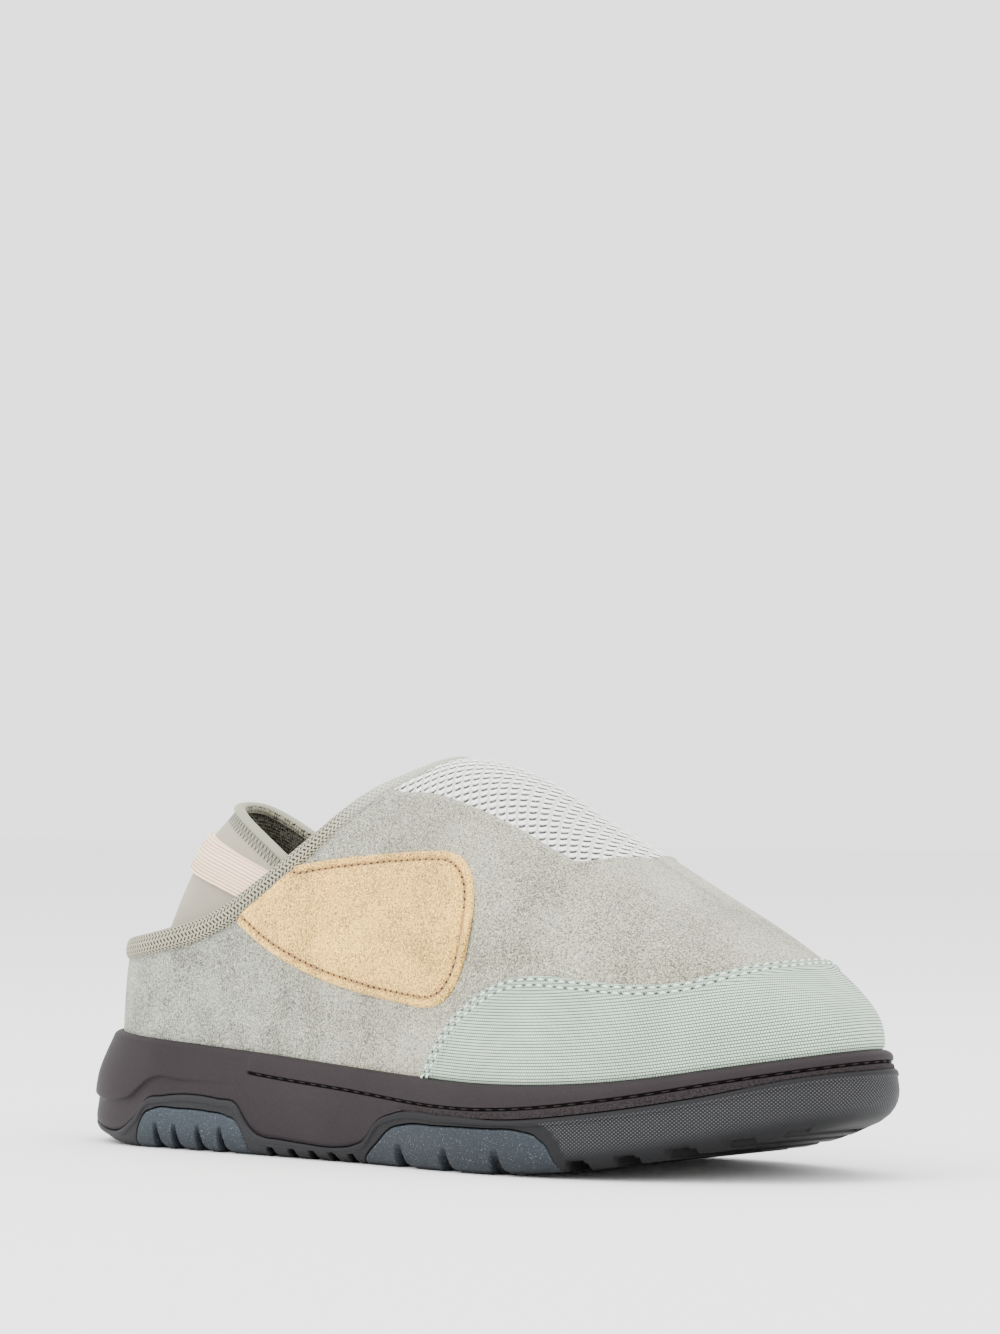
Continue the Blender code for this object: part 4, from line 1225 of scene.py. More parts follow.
@dataclass
class Midsole:
    """Foam cup: ledge, stitch groove with its thread, rounded lip and floor."""

    columns: int = 900
    ledge_step: float = 0.0014
    ledge_width: float = 0.0014
    groove_width: float = 0.0010
    groove_depth: float = 0.0010
    lip_round: float = 0.0016
    lip_belly: float = 0.0005
    groove_start: float = 0.293
    foot_inset: float = 0.006

    def levels(self, turn: Array) -> tuple[Array, Array, Array, Array]:
        """Heights up the wall for each column, and how far each is moved out.

        The wall is set back under the ledge by a smooth step, sunk by a round trough at the
        groove, bellied above it by half a sine, and turned in at the lip by a quarter circle.

        Args:
            turn: Places round the shoe.

        Returns:
            Heights, offsets, the stipple's mask and the mask of painted shade in the groove, rows by columns.
        """
        along = along_of(turn)
        tread, top = LAST.tread(along), LAST.top(along)
        wall = top - tread
        welt = LAST.height_on_wall(turn, WELT) + GAP / 2
        groove = tread + curve(along, GROOVE, 1) * wall
        ledge = np.clip(tread + curve(along, LEDGE, 1) * wall, welt + 0.001, groove - 0.002)
        half = self.ledge_width / 2
        trough = self.groove_width

        def between(low: Array, high: Array, count: int) -> Array:
            """Rows from low to high, without the last."""
            return low + (high - low) * (np.arange(count) / count)[:, None]

        z = np.vstack([
            between(welt, ledge - half, 8), between(ledge - half, ledge + half, 6),
            between(ledge + half, groove - trough, 8), between(groove - trough, groove + trough, 16),
            between(groove + trough, top - self.lip_round, 8)])
        depth = np.clip(curve(along, GROOVE, 2), 0, 1)
        depth = depth * ease(along, self.groove_start, self.groove_start + 0.003)
        step = np.clip(curve(along, LEDGE, 2), 0, 1) * self.ledge_step
        down = ease(np.abs(z - groove), trough / 2 + 0.00015, trough / 2 - 0.00025)
        belly = np.sin(np.pi * np.clip((z - groove) / (top - groove), 0, 1)) * depth
        swell = 1 - 0.85 * np.clip((ledge - z) / (ledge - welt), 0, 1) ** 1.5
        out = -step * (1 - ease((z - ledge) / self.ledge_width, -0.5, 0.5)) * swell
        out = out - down * depth * self.groove_depth + belly * self.lip_belly
        strip = ease(along, 0.49, 0.56) * ease(z - groove, -0.0004, -0.0012)
        arc = np.linspace(0, np.pi / 2, 9)[:, None]
        lip_z = top - self.lip_round + self.lip_round * np.sin(arc)
        belly = np.sin(np.pi * np.clip((lip_z - groove) / (top - groove), 0, 1)) * depth * self.lip_belly
        lip_out = belly - self.lip_round * (1 - np.cos(arc))
        none = np.zeros_like(lip_z)
        z = np.vstack([welt, z, lip_z])
        out = np.vstack([np.full_like(welt, -self.foot_inset), out, lip_out])
        return z, out, np.vstack([none[0], strip, none]), np.vstack([none[0], down * depth, none])

    def build(self) -> None:
        """Builds the foam and the thread in its groove."""
        turn = np.arange(self.columns) / self.columns
        along = along_of(turn)
        z, out, strip, deep_shade = self.levels(turn)
        wall = LAST.wall(turn, z, out)
        cup = LAST.outline(turn, LAST.feather_inset(along) - GAP)
        inner = np.stack([np.column_stack([cup, LAST.top(along) - drop]) for drop in (0, LAST.cup_depth)])
        points = np.concatenate([wall, inner])
        flat = wrapped_flat(points, 20)
        mask = np.stack([np.vstack([strip, strip[-2:] * 0]), np.vstack([deep_shade, deep_shade[-2:] * 0])], -1)
        foot = across(points[0], 2)
        floor = across(points[-1], 2)
        sheets = [Sheet(points, flat, mask, wrap=True), Sheet(foot, flip=True), Sheet(floor)]
        settle(sheet_object("midsole_foam", sheets, [Foam().material()]), "midsole", "midsole")
        self.sew()

    def sew(self) -> None:
        """Sews dark thread along the groove, from one side of the waist round the toe."""
        start = float(turn_of(self.groove_start + 0.012))
        turn = np.linspace(start, 1 - start, 1600)
        along = along_of(turn)
        tread = LAST.tread(along)
        z = tread + curve(along, GROOVE, 1) * (LAST.top(along) - tread)
        path = LAST.wall(turn, z, -self.groove_depth * 0.55)
        up = unit(LAST.wall(turn, z, 0.001) - path)
        thread = Thread("sole_thread", srgb(34, 18, 17)).material()
        piece = bars("sole_stitching", path, up, thread, 0.0034, 0.0050, 0.00026, 0.0)
        settle(piece, "midsole")


@dataclass
class Outsole:
    """Rubber under the welt line: bead, bumper, pockets for the inserts, tread and lug grooves."""

    columns: int = 1600
    bead: float = 0.0020
    bead_step: float = 0.0005
    edge_round: float = 0.0011
    pocket: float = 0.0030
    frame_width: float = 0.0032
    groove_depth: float = 0.0032
    foot_rows: int = 28

    @staticmethod
    def insert_line(turn: Array) -> tuple[Array, Array]:
        """Height of the inserts' outline on the wall, and 1 where an insert is.

        Args:
            turn: Places round the shoe.

        Returns:
            Heights, and the mask.
        """
        along = along_of(turn)
        line = np.full_like(along, -1.0)
        for table in (HEEL_POD, BALL_POD):
            here = (along > table[0, 0]) & (along < table[-1, 0])
            line = np.where(here, LAST.height_on_wall(turn, table), line)
        return line, (line > -1).astype(float)

    def grooved(self, points: Array, spare: float = 0.0) -> Array:
        """Lifts the points that lie in a lug groove, widened by a spare share, up to its roof.

        Args:
            points: Points of the sole.
            spare: How much wider each groove is to either side, a share of the length.

        Returns:
            The lifted points.
        """
        along = LAST.share_of(points[..., 0])
        roof = LAST.tread(along) + self.groove_depth
        depth = np.zeros_like(along)
        for place, width, reach in LUGS:
            window = ease(np.abs(along - place) - width / 2 - spare, 0.0012, -0.0012)
            end = reach * LAST.ball_width / 2
            depth = np.maximum(depth, window * ease(np.abs(points[..., 1]), end + 0.0006, end))
        lifted = points.copy()
        lifted[..., 2] += np.maximum(roof - points[..., 2], 0) * depth
        return lifted

    def levels(self, turn: Array, welt: Array) -> tuple[Array, Array]:
        """Heights down the wall for each column, and how far each is moved out.

        From the welt the wall turns out by a quarter circle and runs down a bead, steps back
        behind it, and under an insert's outline is sunk by the pocket as far as the tread.

        Args:
            turn: Places round the shoe.
            welt: Height of the welt line in each column.

        Returns:
            Heights and offsets, rows by columns.
        """
        along = along_of(turn)
        tread = LAST.tread(along)
        proud = LAST.outsole_proud * (0.3 + 0.7 * ease(along, 0.02, 0.12))
        slope = np.gradient(welt) / np.linalg.norm(np.gradient(LAST.outline(turn), axis=0), axis=1)
        tilt = np.sqrt(1 + np.minimum(slope**2, 4))
        line, held = self.insert_line(turn)
        foot = np.where(held > 0, np.maximum(line + GAP, tread + 0.0004), tread + 0.0004)
        foot = np.minimum(foot, welt - self.edge_round - 0.001)
        arc = np.linspace(0, np.pi / 2, 7)[:, None]
        edge_z = welt - self.edge_round * (1 - np.cos(arc))
        edge_out = proud - self.edge_round * (1 - np.sin(arc)) + 0 * welt
        near = welt - self.edge_round
        under = near - foot
        bead_low = near - np.minimum((self.bead - self.edge_round) * tilt, under * 0.45)
        drop = near - np.minimum((self.bead - self.edge_round + 0.0005) * tilt, under * 0.60)
        share = np.linspace(0, 1, 9)[1:, None]
        third = np.linspace(0, 1, 4)[1:, None]
        band_z = np.vstack([near + (bead_low - near) * third, bead_low + (drop - bead_low) * third,
                            drop + (foot - drop) * share])
        sunk = np.concatenate([np.zeros(3), np.array([0.3, 0.8, 1.0]), np.ones(8)])[:, None]
        band_out = proud - sunk * self.bead_step + 0 * band_z
        side_out = proud - self.bead_step
        turn_in = np.array([0.25, 1.0])[:, None]
        rim_z = np.vstack([foot - 0.0001, foot - 0.0002])
        rim_out = side_out - held * self.pocket * turn_in
        low_z = foot - 0.0002 + (tread - foot + 0.0002) * np.linspace(0, 1, 15)[1:, None]
        low_out = np.broadcast_to(side_out - held * self.pocket, low_z.shape)
        z = np.vstack([welt, edge_z, band_z, rim_z, low_z])
        out = np.vstack([np.full_like(welt, -0.005), edge_out, band_out, rim_out, low_out])
        return z, out

    def masks(self, turn: Array, welt: Array, z: Array, out: Array) -> Array:
        """Masks of the wall: the dots of the bumper, and the shade low down and in the grooves.

        Args:
            turn: Places round the shoe.
            welt: Height of the welt line in each column.
            z: Heights, rows by columns.
            out: Offsets, rows by columns.

        Returns:
            The two masks at each point.
        """
        along = along_of(turn)
        tread = LAST.tread(along)
        share = (z - tread) / (welt - tread)
        beside = turn_beside(turn, self.frame_width)
        over = z - np.maximum(self.insert_line(turn)[0], self.insert_line(beside)[0])
        bumper = ease(along, 0.66, 0.69) * ease(over, self.frame_width - 0.0003, self.frame_width)
        bumper = bumper * ease(z, welt - 0.0012, welt - 0.0016) * ease(share, 0.20, 0.50)
        lower = ease(share, 0.35, 0.0) * ease(along, 0.70, 0.78)
        deep_shade = self.grooved(LAST.wall(turn, z, out), 0.001)[..., 2] - z
        shade = np.clip(lower * 0.5 + ease(deep_shade, 0.0002, 0.0012), 0, 1)
        return np.stack([bumper, shade], -1)

    def build(self) -> None:
        """Builds the rubber: a wall carried round the sole and a tread across it."""
        turn = np.arange(self.columns) / self.columns
        tread = LAST.tread(along_of(turn))
        welt = LAST.height_on_wall(turn, WELT) - GAP / 2
        z, out = self.levels(turn, welt)
        points = self.grooved(LAST.wall(turn, z, out))
        flat_sole = across(LAST.wall(turn, tread, out[-1]), self.foot_rows)
        sole = self.grooved(flat_sole)
        # painted shade across the tread's face, deeper in and beside the lug grooves
        inside = ease(self.grooved(flat_sole, 0.003)[..., 2] - flat_sole[..., 2], 0.0002, 0.0012)
        shade = np.stack([inside * 0, 0.6 + inside * 0.4], -1)
        wall = Sheet(points, wrapped_flat(points, 12), self.masks(turn, welt, z, out), wrap=True, flip=True)
        sheets = [wall, Sheet(sole, sole[..., :2], shade, flip=True), Sheet(across(points[0], 2))]
        settle(sheet_object("outsole_rubber", sheets, [Rubber().material()]), "outsole", "outsole")


@dataclass
class Insert:
    """Notched insert in one side of the outsole: a bar whose section is carried along it."""

    node: str
    outline: Array
    side: Side
    notches: tuple[float, ...]
    notch_width: float
    notch_height: float
    columns: int = 220
    depth: float = 0.016
    proud: float = 0.0004
    notch_depth: float = 0.0045
    rounding: float = 0.0010

    def build(self, finish: bpy.types.Material) -> None:
        """Builds the insert: its face is rounded at the outline and sunk by tapering notches.

        Args:
            finish: Material of the insert.
        """
        along = np.linspace(self.outline[0, 0], self.outline[-1, 0], self.columns)
        turn = turn_of(along)
        turn = turn if self.side is Side.OUTER else 1 - turn
        tread = LAST.tread(along)
        high = np.maximum(LAST.height_on_wall(turn, self.outline) - GAP / 2, tread + 2e-5)
        slope = np.gradient(high, LAST.x_at(along))
        steep = np.sqrt(1 + slope**2)
        rounded = 1 - np.linspace(0, 1, 10)[:-1] ** 2 * 0.22
        share = np.concatenate([rounded, np.linspace(0.78, 0, 30)])[:, None]
        z = tread + (high - tread) * share
        away = (high - z) / steep
        curl = np.clip(1 - away / self.rounding, 0, 1)
        out = self.proud - self.rounding * (1 - np.sqrt(1 - curl**2))
        x = LAST.x_at(along)
        # dark: mask of the painted shade in the notches
        dark = np.zeros_like(z)
        for notch in self.notches:
            up = np.clip((z - tread) / self.notch_height, 0, 1)
            half = self.notch_width / 2 * (1 - 0.6 * up) + 0.0011 * np.clip(1 - up / 0.3, 0, 1) ** 2
            window = ease(np.abs(x - LAST.x_at(notch)) / half, 1.25, 0.75)
            sink = np.clip((1 - up) * 1.5, 0, 1) * (up < 1)
            out = out - window * sink * self.notch_depth
            dark = np.maximum(dark, window * sink)
        face = LAST.wall(turn, z, out)
        middle = np.abs(LAST.outline(np.array([turn[len(turn) // 2]]))[0, 1])
        back = face[[0, -1]].copy()
        back[..., 1] = self.side.value * np.minimum(middle - self.depth, np.abs(face[-1, :, 1]) - 0.004)
        points = np.concatenate([back[:1], face, back[1:], back[:1]])
        dark = np.vstack([dark[:1] * 0, dark, dark[:2] * 0])
        edge = np.vstack([curl[:1] * 0, curl, curl[:2] * 0])
        sheet = Sheet(points, laid_flat(points, 20), np.stack([dark, edge], -1), flip=self.side is Side.OUTER)
        settle(sheet_object(self.node + "_rubber", [sheet], [finish]), "insert", self.node)


@dataclass
class Insole:
    """Insole on the cup's floor, its edge a little raised."""

    columns: int = 400
    thickness: float = 0.0040
    wall: float = 0.0020

    def build(self) -> None:
        """Builds the insole: rings of the outline, and a top across it that sags at its middle."""
        turn = np.arange(self.columns) / self.columns
        along = along_of(turn)
        floor = LAST.top(along) - LAST.cup_depth + GAP
        rings = []
        for inset, lift in ((0.0, 0.0), (0.0, 0.7), (0.0005, 0.92), (0.0014, 1.0)):
            edge = LAST.outline(turn, LAST.feather_inset(along) + self.wall + 2 * GAP + inset)
            rings.append(np.column_stack([edge, floor + self.thickness * lift]))
        points = np.stack(rings)
        top = across(points[-1], 26)
        share = np.linspace(0, 1, 26)[:, None]
        top[..., 2] -= 0.0012 * (4 * share * (1 - share)) ** 0.6
        sheets = [Sheet(points, wrapped_flat(points, 0), wrap=True), Sheet(top, top[..., :2]),
                  Sheet(across(points[0], 2), flip=True)]
        cloth = Cloth("insole_cloth", srgb(92, 90, 78), srgb(52, 50, 42), 0.0011)
        piece = sheet_object("insole_pad", sheets, [cloth.material()])
        settle(piece, "insole", "insole")


@dataclass(frozen=True)
class Crease:
    """Soft trough or ridge in the suede, between two places in the side view."""

    start: tuple[float, float]
    end: tuple[float, float]
    width: float
    height: float

    def relief(self, points: Array) -> Array:
        """Height at each point of the outer side: a bell across the crease, fading at its ends.

        Args:
            points: Points of the last.

        Returns:
            Heights, in metres.
        """
        a, b = (np.array([LAST.x_at(x), z * LAST.instep_height]) for x, z in (self.start, self.end))
        flat = points[..., [0, 2]]
        run = b - a
        share = np.clip(((flat - a) @ run) / (run @ run), 0, 1)
        away = np.linalg.norm(flat - a - share[..., None] * run, axis=-1)
        fade = 4 * share * (1 - share) * 0.6 + 0.4
        return self.height * np.exp(-((away / self.width) ** 2)) * fade * (points[..., 1] < 0.01)


@dataclass
class Upper:
    """Suede shell with its lining, a fold at the throat and a few soft creases."""

    even_columns: int = 420
    rear_columns: int = 14
    front_columns: int = 70
    rows: int = 56
    wall: float = 0.0020
    fold: float = 0.0010
    fold_width: float = 0.0035
    fold_taper: float = 0.020
    creases: tuple[Crease, ...] = (
        Crease((0.10, 0.34), (0.26, 0.42), 0.009, -0.0005),
        Crease((0.06, 0.44), (0.16, 0.46), 0.006, 0.0004),
        Crease((0.57, 0.45), (0.66, 0.78), 0.008, -0.0005),
        Crease((0.66, 0.47), (0.72, 0.68), 0.007, 0.0004),
        Crease((0.74, 0.50), (0.80, 0.60), 0.006, -0.0004),
        Crease((0.36, 0.30), (0.46, 0.36), 0.008, -0.0004),
    )

    def turns(self) -> Array:
        """Turns of the columns: even, but for the throat's own on each side."""
        outer, inner, _, end = LAST.throat_marks
        even = np.arange(self.even_columns) / self.even_columns
        side = np.minimum(even, 1 - even)
        spare = 0.3 / self.even_columns
        corner = np.where(even < 0.5, outer, inner)
        clear = (side < corner - spare) | (side > end + spare)
        own = [LAST.throat_turns(c, self.rear_columns, self.front_columns) for c in (outer, inner)]
        return np.sort(np.concatenate([even[clear], own[0], 1 - own[1]]))

    def build(self) -> None:
        """Builds the shell: rows up each rib to the topline or the throat, moved out by its relief."""
        turn = self.turns()
        along = along_of(turn)
        side = np.minimum(turn, 1 - turn)
        throat = LAST.rise_at_throat(turn)
        limit = np.minimum(LAST.rise_at_collar(turn), throat)
        limit = np.where(side > LAST.throat_marks[3] - STEP, 1, limit)
        rise = limit * np.linspace(0, 1, self.rows)[:, None]
        points = LAST.point(turn, rise)
        normal = LAST.normal(turn, rise)
        length = run_length(points, 0)
        from_edge = length[-1] - length
        near_throat = (throat < 1) & (side < LAST.throat_marks[3]) & (side > LAST.throat_marks[0] - 0.002)
        hem = np.exp(-((from_edge / self.fold_width - 0.6) / 0.5) ** 2) * self.fold
        hem = hem * ease(LAST.throat_marks[3] - side, 0.0, self.fold_taper)
        relief = hem * near_throat + sum(c.relief(points) for c in self.creases)
        relief = relief * ease(rise, 0.0, 0.06)
        points = points + normal * relief[..., None]
        skirt = points[:1].copy()
        skirt[..., 2] = LAST.top(along) - LAST.cup_depth + GAP
        points = np.concatenate([skirt, points])
        # mask of painted shade: a dark line along the collar, under the binding
        seam = ease(from_edge, self.fold_width, 0.0) * (LAST.rise_at_collar(turn) <= throat)
        mask = np.stack([np.concatenate([seam[:1] * 0, seam]), np.zeros(points.shape[:2])], -1)
        lining = Cloth("lining_cloth", srgb(112, 112, 104), srgb(60, 60, 54), 0.0012).material()
        # the last colour is the painted shade under the binding
        suede = Suede("sage_suede", srgb(153, 150, 130), srgb(134, 137, 124), srgb(116, 119, 118),
                      srgb(96, 96, 88)).material()
        sheet = Sheet(points, wrapped_flat(points, 1), mask, wrap=True)
        piece = sheet_object("suede_upper", [sheet], [suede, lining])
        wall = piece.modifiers.new("wall", "SOLIDIFY")
        wall.thickness = self.wall
        wall.offset = -1
        wall.material_offset = 1
        settle(piece, "suede", "upper")


@dataclass
class ThroatNet:
    """Net in the throat window: a lattice of strands raised over its lining."""

    rear_columns: int = 40
    front_columns: int = 230
    rows: int = 62
    drop: float = 0.0002
    tuck: float = 0.0030
    cell_long: float = Net.cell_long
    cell_wide: float = Net.cell_wide
    cell_height: float = 0.00045
    height_share: float = 0.8
    side_share: float = 0.6
    row_way: tuple[float, float] = (0.98, -0.503)
    column_way: tuple[float, float] = (0.35, 0.608)

    def cells(self, u: Array, v: Array) -> Array:
        """Relief of the cells: a pillow by the cosine across each, low at its foot and its sides.

        Args:
            u: Length along the shoe, in metres.
            v: Length across it, in metres.

        Returns:
            Relief from 0 to 1.
        """
        cell = u / self.cell_long - np.floor(u / self.cell_long) - 0.5
        level = v / self.cell_wide + 1.1 * cell**2 + 0.15 * cell
        level = level - np.floor(level) - 0.5
        return np.cos(np.pi * cell) ** 0.5 * (1 - np.exp(-((level / 0.22) ** 2)))

    def build(self) -> None:
        """Builds the two halves of the net, which meet on the ridge.

        The lattice is one sheet: its rows run on over the ridge. A place in it is a sum of the
        place along the shoe and the way down from the ridge, which counts height and breadth.
        """
        outer, inner = LAST.throat_marks[:2]
        ridge = LAST.point(turn_of(np.linspace(0.2, 0.98, 300)), np.ones(300))
        sheets = []
        for corner, side in ((outer, Side.OUTER), (inner, Side.INNER)):
            turn = LAST.throat_turns(corner - 0.002, self.rear_columns, self.front_columns)
            turn = turn if side is Side.OUTER else 1 - turn[::-1]
            low = LAST.rise_at_throat(turn, -self.tuck)
            high = np.maximum(LAST.rise_at_collar(turn), low)
            low = np.minimum(low, high)
            rise = low + (high - low) * np.linspace(0, 1, self.rows)[:, None]
            points = LAST.point(turn, rise)
            normal = LAST.normal(turn, rise)
            crown = np.interp(points[..., 0], ridge[:, 0], ridge[:, 2])
            beside = LAST.crest_y(LAST.share_of(points[..., 0])) - points[..., 1]
            fall = LAST.instep_height - crown + np.sign(beside) * (crown - points[..., 2])
            down = self.height_share * fall + self.side_share * beside
            u, v = (a * points[..., 0] + b * down for a, b in (self.row_way, self.column_way))
            lift = self.cells(u, v) * self.cell_height - self.drop - self.cell_height
            sheets.append(Sheet(points + normal * lift[..., None], np.stack([u, v], -1)))
        piece = sheet_object("throat_netting", sheets, [Net().material()])
        wall = piece.modifiers.new("wall", "SOLIDIFY")
        wall.thickness = 0.0009
        wall.offset = -1
        settle(piece, "net", "throat_panel")


@dataclass
class ToeCap:
    """Woven cap over the toe, with a folded seam that two rows of stitches hold."""

    columns: int = 420
    rows: int = 60
    lift: float = 0.0009
    fold: float = 0.0005
    fold_width: float = 0.0046
    rounding: float = 0.0008
    dip: float = 0.00025
    rows_of_stitches: tuple[float, ...] = (0.0014, 0.0033)
    stitch_length: float = 0.0027
    stitch_pitch: float = 0.0037

    def build(self) -> None:
        """Builds the cap: raised off the suede, higher over the fold, rounded at its edge."""
        share = np.linspace(0, 1, self.columns // 2 + 1)
        sides = np.interp(share * (len(CAP) - 1), np.arange(len(CAP)), CAP[:, 0])
        turn = np.concatenate([sides, 1 - sides[-2::-1]])
        side = np.minimum(turn, 1 - turn)
        low = LAST.rise_at_height(turn, LAST.top(along_of(turn)) - 0.0012)
        high = np.maximum(curve(side, CAP), low)
        rise = low + (high - low) * np.linspace(0, 1, self.rows)[:, None]
        points = LAST.point(turn, rise)
        normal = LAST.normal(turn, rise)
        away = distance_to(points, points[-1])
        curl = np.clip(1 - away / self.rounding, 0, 1)
        folded = ease(away, self.fold_width + 0.0007, self.fold_width)
        lift = self.lift + folded * self.fold
        for row in self.rows_of_stitches:
            lift = lift - self.dip * np.exp(-(((away - row) / 0.00045) ** 2))
        lift = lift * np.sqrt(1 - curl**2) + LAID
        foot = ease(points[..., 2] - LAST.top(along_of(turn)), -0.0004, 0.0016)
        lift = lift * (0.12 + 0.88 * foot)
        laid = points + normal * lift[..., None]
        # mask of painted shade along the stitch rows, where the cloth dips
        seam_shade = sum(np.exp(-(((away - row) / 0.0006) ** 2)) for row in self.rows_of_stitches)
        mask = np.stack([folded, np.clip(seam_shade, 0, 1)], -1)
        flat = laid_flat(points, self.rows // 3)
        piece = sheet_object("toe_cap_cloth", [Sheet(laid, flat, mask)], [Nylon().material()])
        settle(piece, "nylon", "toe_cap")
        self.sew(turn, high)

    def sew(self, turn: Array, high: Array) -> None:
        """Sews the rows of stitches below the seam, with a dark bar of painted shade for the needle hole
        between each pair.

        Args:
            turn: Turns of the cap's columns.
            high: Rise of its seam in each column.
        """
        seam = LAST.point(turn, high)
        normal = LAST.normal(turn, high)
        inward = unit(np.cross(normal, np.gradient(seam, axis=0)))
        pale = Thread("cap_thread", srgb(226, 240, 228)).material()
        # dark bars of painted shade stand for the needle holes
        dark = Thread("cap_needle_hole_shade", srgb(28, 34, 33)).material()
        for number, row in enumerate(self.rows_of_stitches):
            path = seam - inward * row + normal * (self.lift + self.fold - 0.0002)
            start = self.stitch_pitch / 2 * number
            settle(bars(f"cap_stitches_{number + 1}", path, normal, pale, self.stitch_length,
                        self.stitch_pitch, 0.00040, 0.0003, start), "nylon")
            settle(bars(f"cap_needle_hole_shades_{number + 1}", path, normal, dark, 0.0012,
                        self.stitch_pitch, 0.00036, -0.0001, start + self.stitch_length - 0.00015), "nylon")


@dataclass
class SidePatch:
    """Plain tan overlay on the outer side, stitched round its edge, with painted shade along the stitch line.
    """

    columns: int = 230
    rows: int = 110
    thickness: float = 0.0011
    rounding: float = 0.0010
    inset: float = 0.0030
    stitch_length: float = 0.0019
    stitch_pitch: float = 0.0027
    front_start: float = 0.530
    front_power: float = 2.4
    padding: float = 0.0004
    dip_width: float = 0.0007

    def border(self, along: Array) -> tuple[Array, Array]:
        """Heights of the patch's two edges, which a superellipse draws together at its front.

        Args:
            along: Shares of the length.

        Returns:
            Heights of the lower edge and of the upper one.
        """
        low, high = (curve(along, PATCH, k) * LAST.instep_height for k in (1, 2))
        front = np.clip((along - self.front_start) / (PATCH[-1, 0] - self.front_start), 0, 1)
        close = np.clip(1 - front**self.front_power, 0, 1) ** (1 / self.front_power)
        middle = (low + high) / 2
        return middle - (middle - low) * close, middle + (high - middle) * close

    def build(self) -> None:
        """Builds the patch and its stitches: raised by a quarter circle at its edge."""
        along = PATCH[0, 0] + (PATCH[-1, 0] - PATCH[0, 0]) * np.sin(np.linspace(0, np.pi / 2, self.columns))
        turn = turn_of(along)
        collar = LAST.rise_at_collar(turn)
        low, high = (LAST.rise_at_height(turn, edge) for edge in self.border(along))
        high = np.minimum(high, collar)
        low = np.minimum(low, high)
        rise = low + (high - low) * np.linspace(0, 1, self.rows)[:, None]
        points = LAST.point(turn, rise)
        normal = LAST.normal(turn, rise)
        free = high < collar - STEP
        edge = np.concatenate([points[0], points[-1][free], points[:, -1]])
        away = distance_to(points, edge)
        curl = np.clip(1 - away / self.rounding, 0, 1)
        # one profile sinks the patch along the stitch line and marks the painted shade in that trough
        seam_shade = np.exp(-(((away - self.inset) / self.dip_width) ** 2))
        puff = self.padding * ease(away, self.inset, self.inset + 0.006)
        lift = (self.thickness + puff) * np.sqrt(1 - curl**2) - self.padding * seam_shade + LAID
        laid = points + normal * lift[..., None]
        # the last colour is the painted shade along the stitch line
        tan = Suede("tan_suede", srgb(222, 176, 86), srgb(222, 176, 86), srgb(194, 130, 56),
                    srgb(110, 70, 34))
        mask = np.stack([seam_shade, np.zeros_like(seam_shade)], -1)
        settle(sheet_object("side_patch_suede", [Sheet(laid, laid_flat(points, 50), mask)], [tan.material()]),
               "tan_suede", "side_patch")
        self.sew(points, normal, away)

    def sew(self, points: Array, normal: Array, away: Array) -> None:
        """Sews along the line at the inset, which is found up and down each column.

        Args:
            points: The patch's points on the last.
            normal: Their outward directions.
            away: Their distances from the edge.
        """
        peak = away.argmax(0)
        keep = away.max(0) > self.inset + 0.0006
        columns = np.nonzero(keep)[0]
        lower = [np.argmax(away[: peak[c] + 1, c] > self.inset) for c in columns]
        upper = [len(away) - 1 - np.argmax(away[::-1, c] > self.inset) for c in columns]
        tan = Thread("patch_thread", srgb(168, 126, 80)).material()
        # dark bars of painted shade stand for the needle holes
        dark = Thread("patch_needle_hole_shade", srgb(28, 18, 12)).material()
        rows = np.array(lower + upper[::-1])
        columns = np.concatenate([columns, columns[::-1]])
        path, up = points[rows, columns], normal[rows, columns]
        s = run_length(path)
        even = np.arange(0, s[-1], 0.0006)
        smooth = at_lengths(even, s, path)
        kernel = np.ones(9) / 9
        smooth[4:-4] = np.stack([np.convolve(smooth[:, k], kernel, "valid") for k in range(3)], -1)
        up = unit(at_lengths(even, s, up))
        path = smooth + up * (self.thickness - 0.0003)
        settle(bars("patch_stitches", path, up, tan, self.stitch_length,
                    self.stitch_pitch, 0.00030, 0.0001), "tan_suede")
        settle(bars("patch_needle_hole_shades", path, up, dark, 0.0014,
                    self.stitch_pitch, 0.00044, -0.00005, self.stitch_length - 0.00015), "tan_suede")


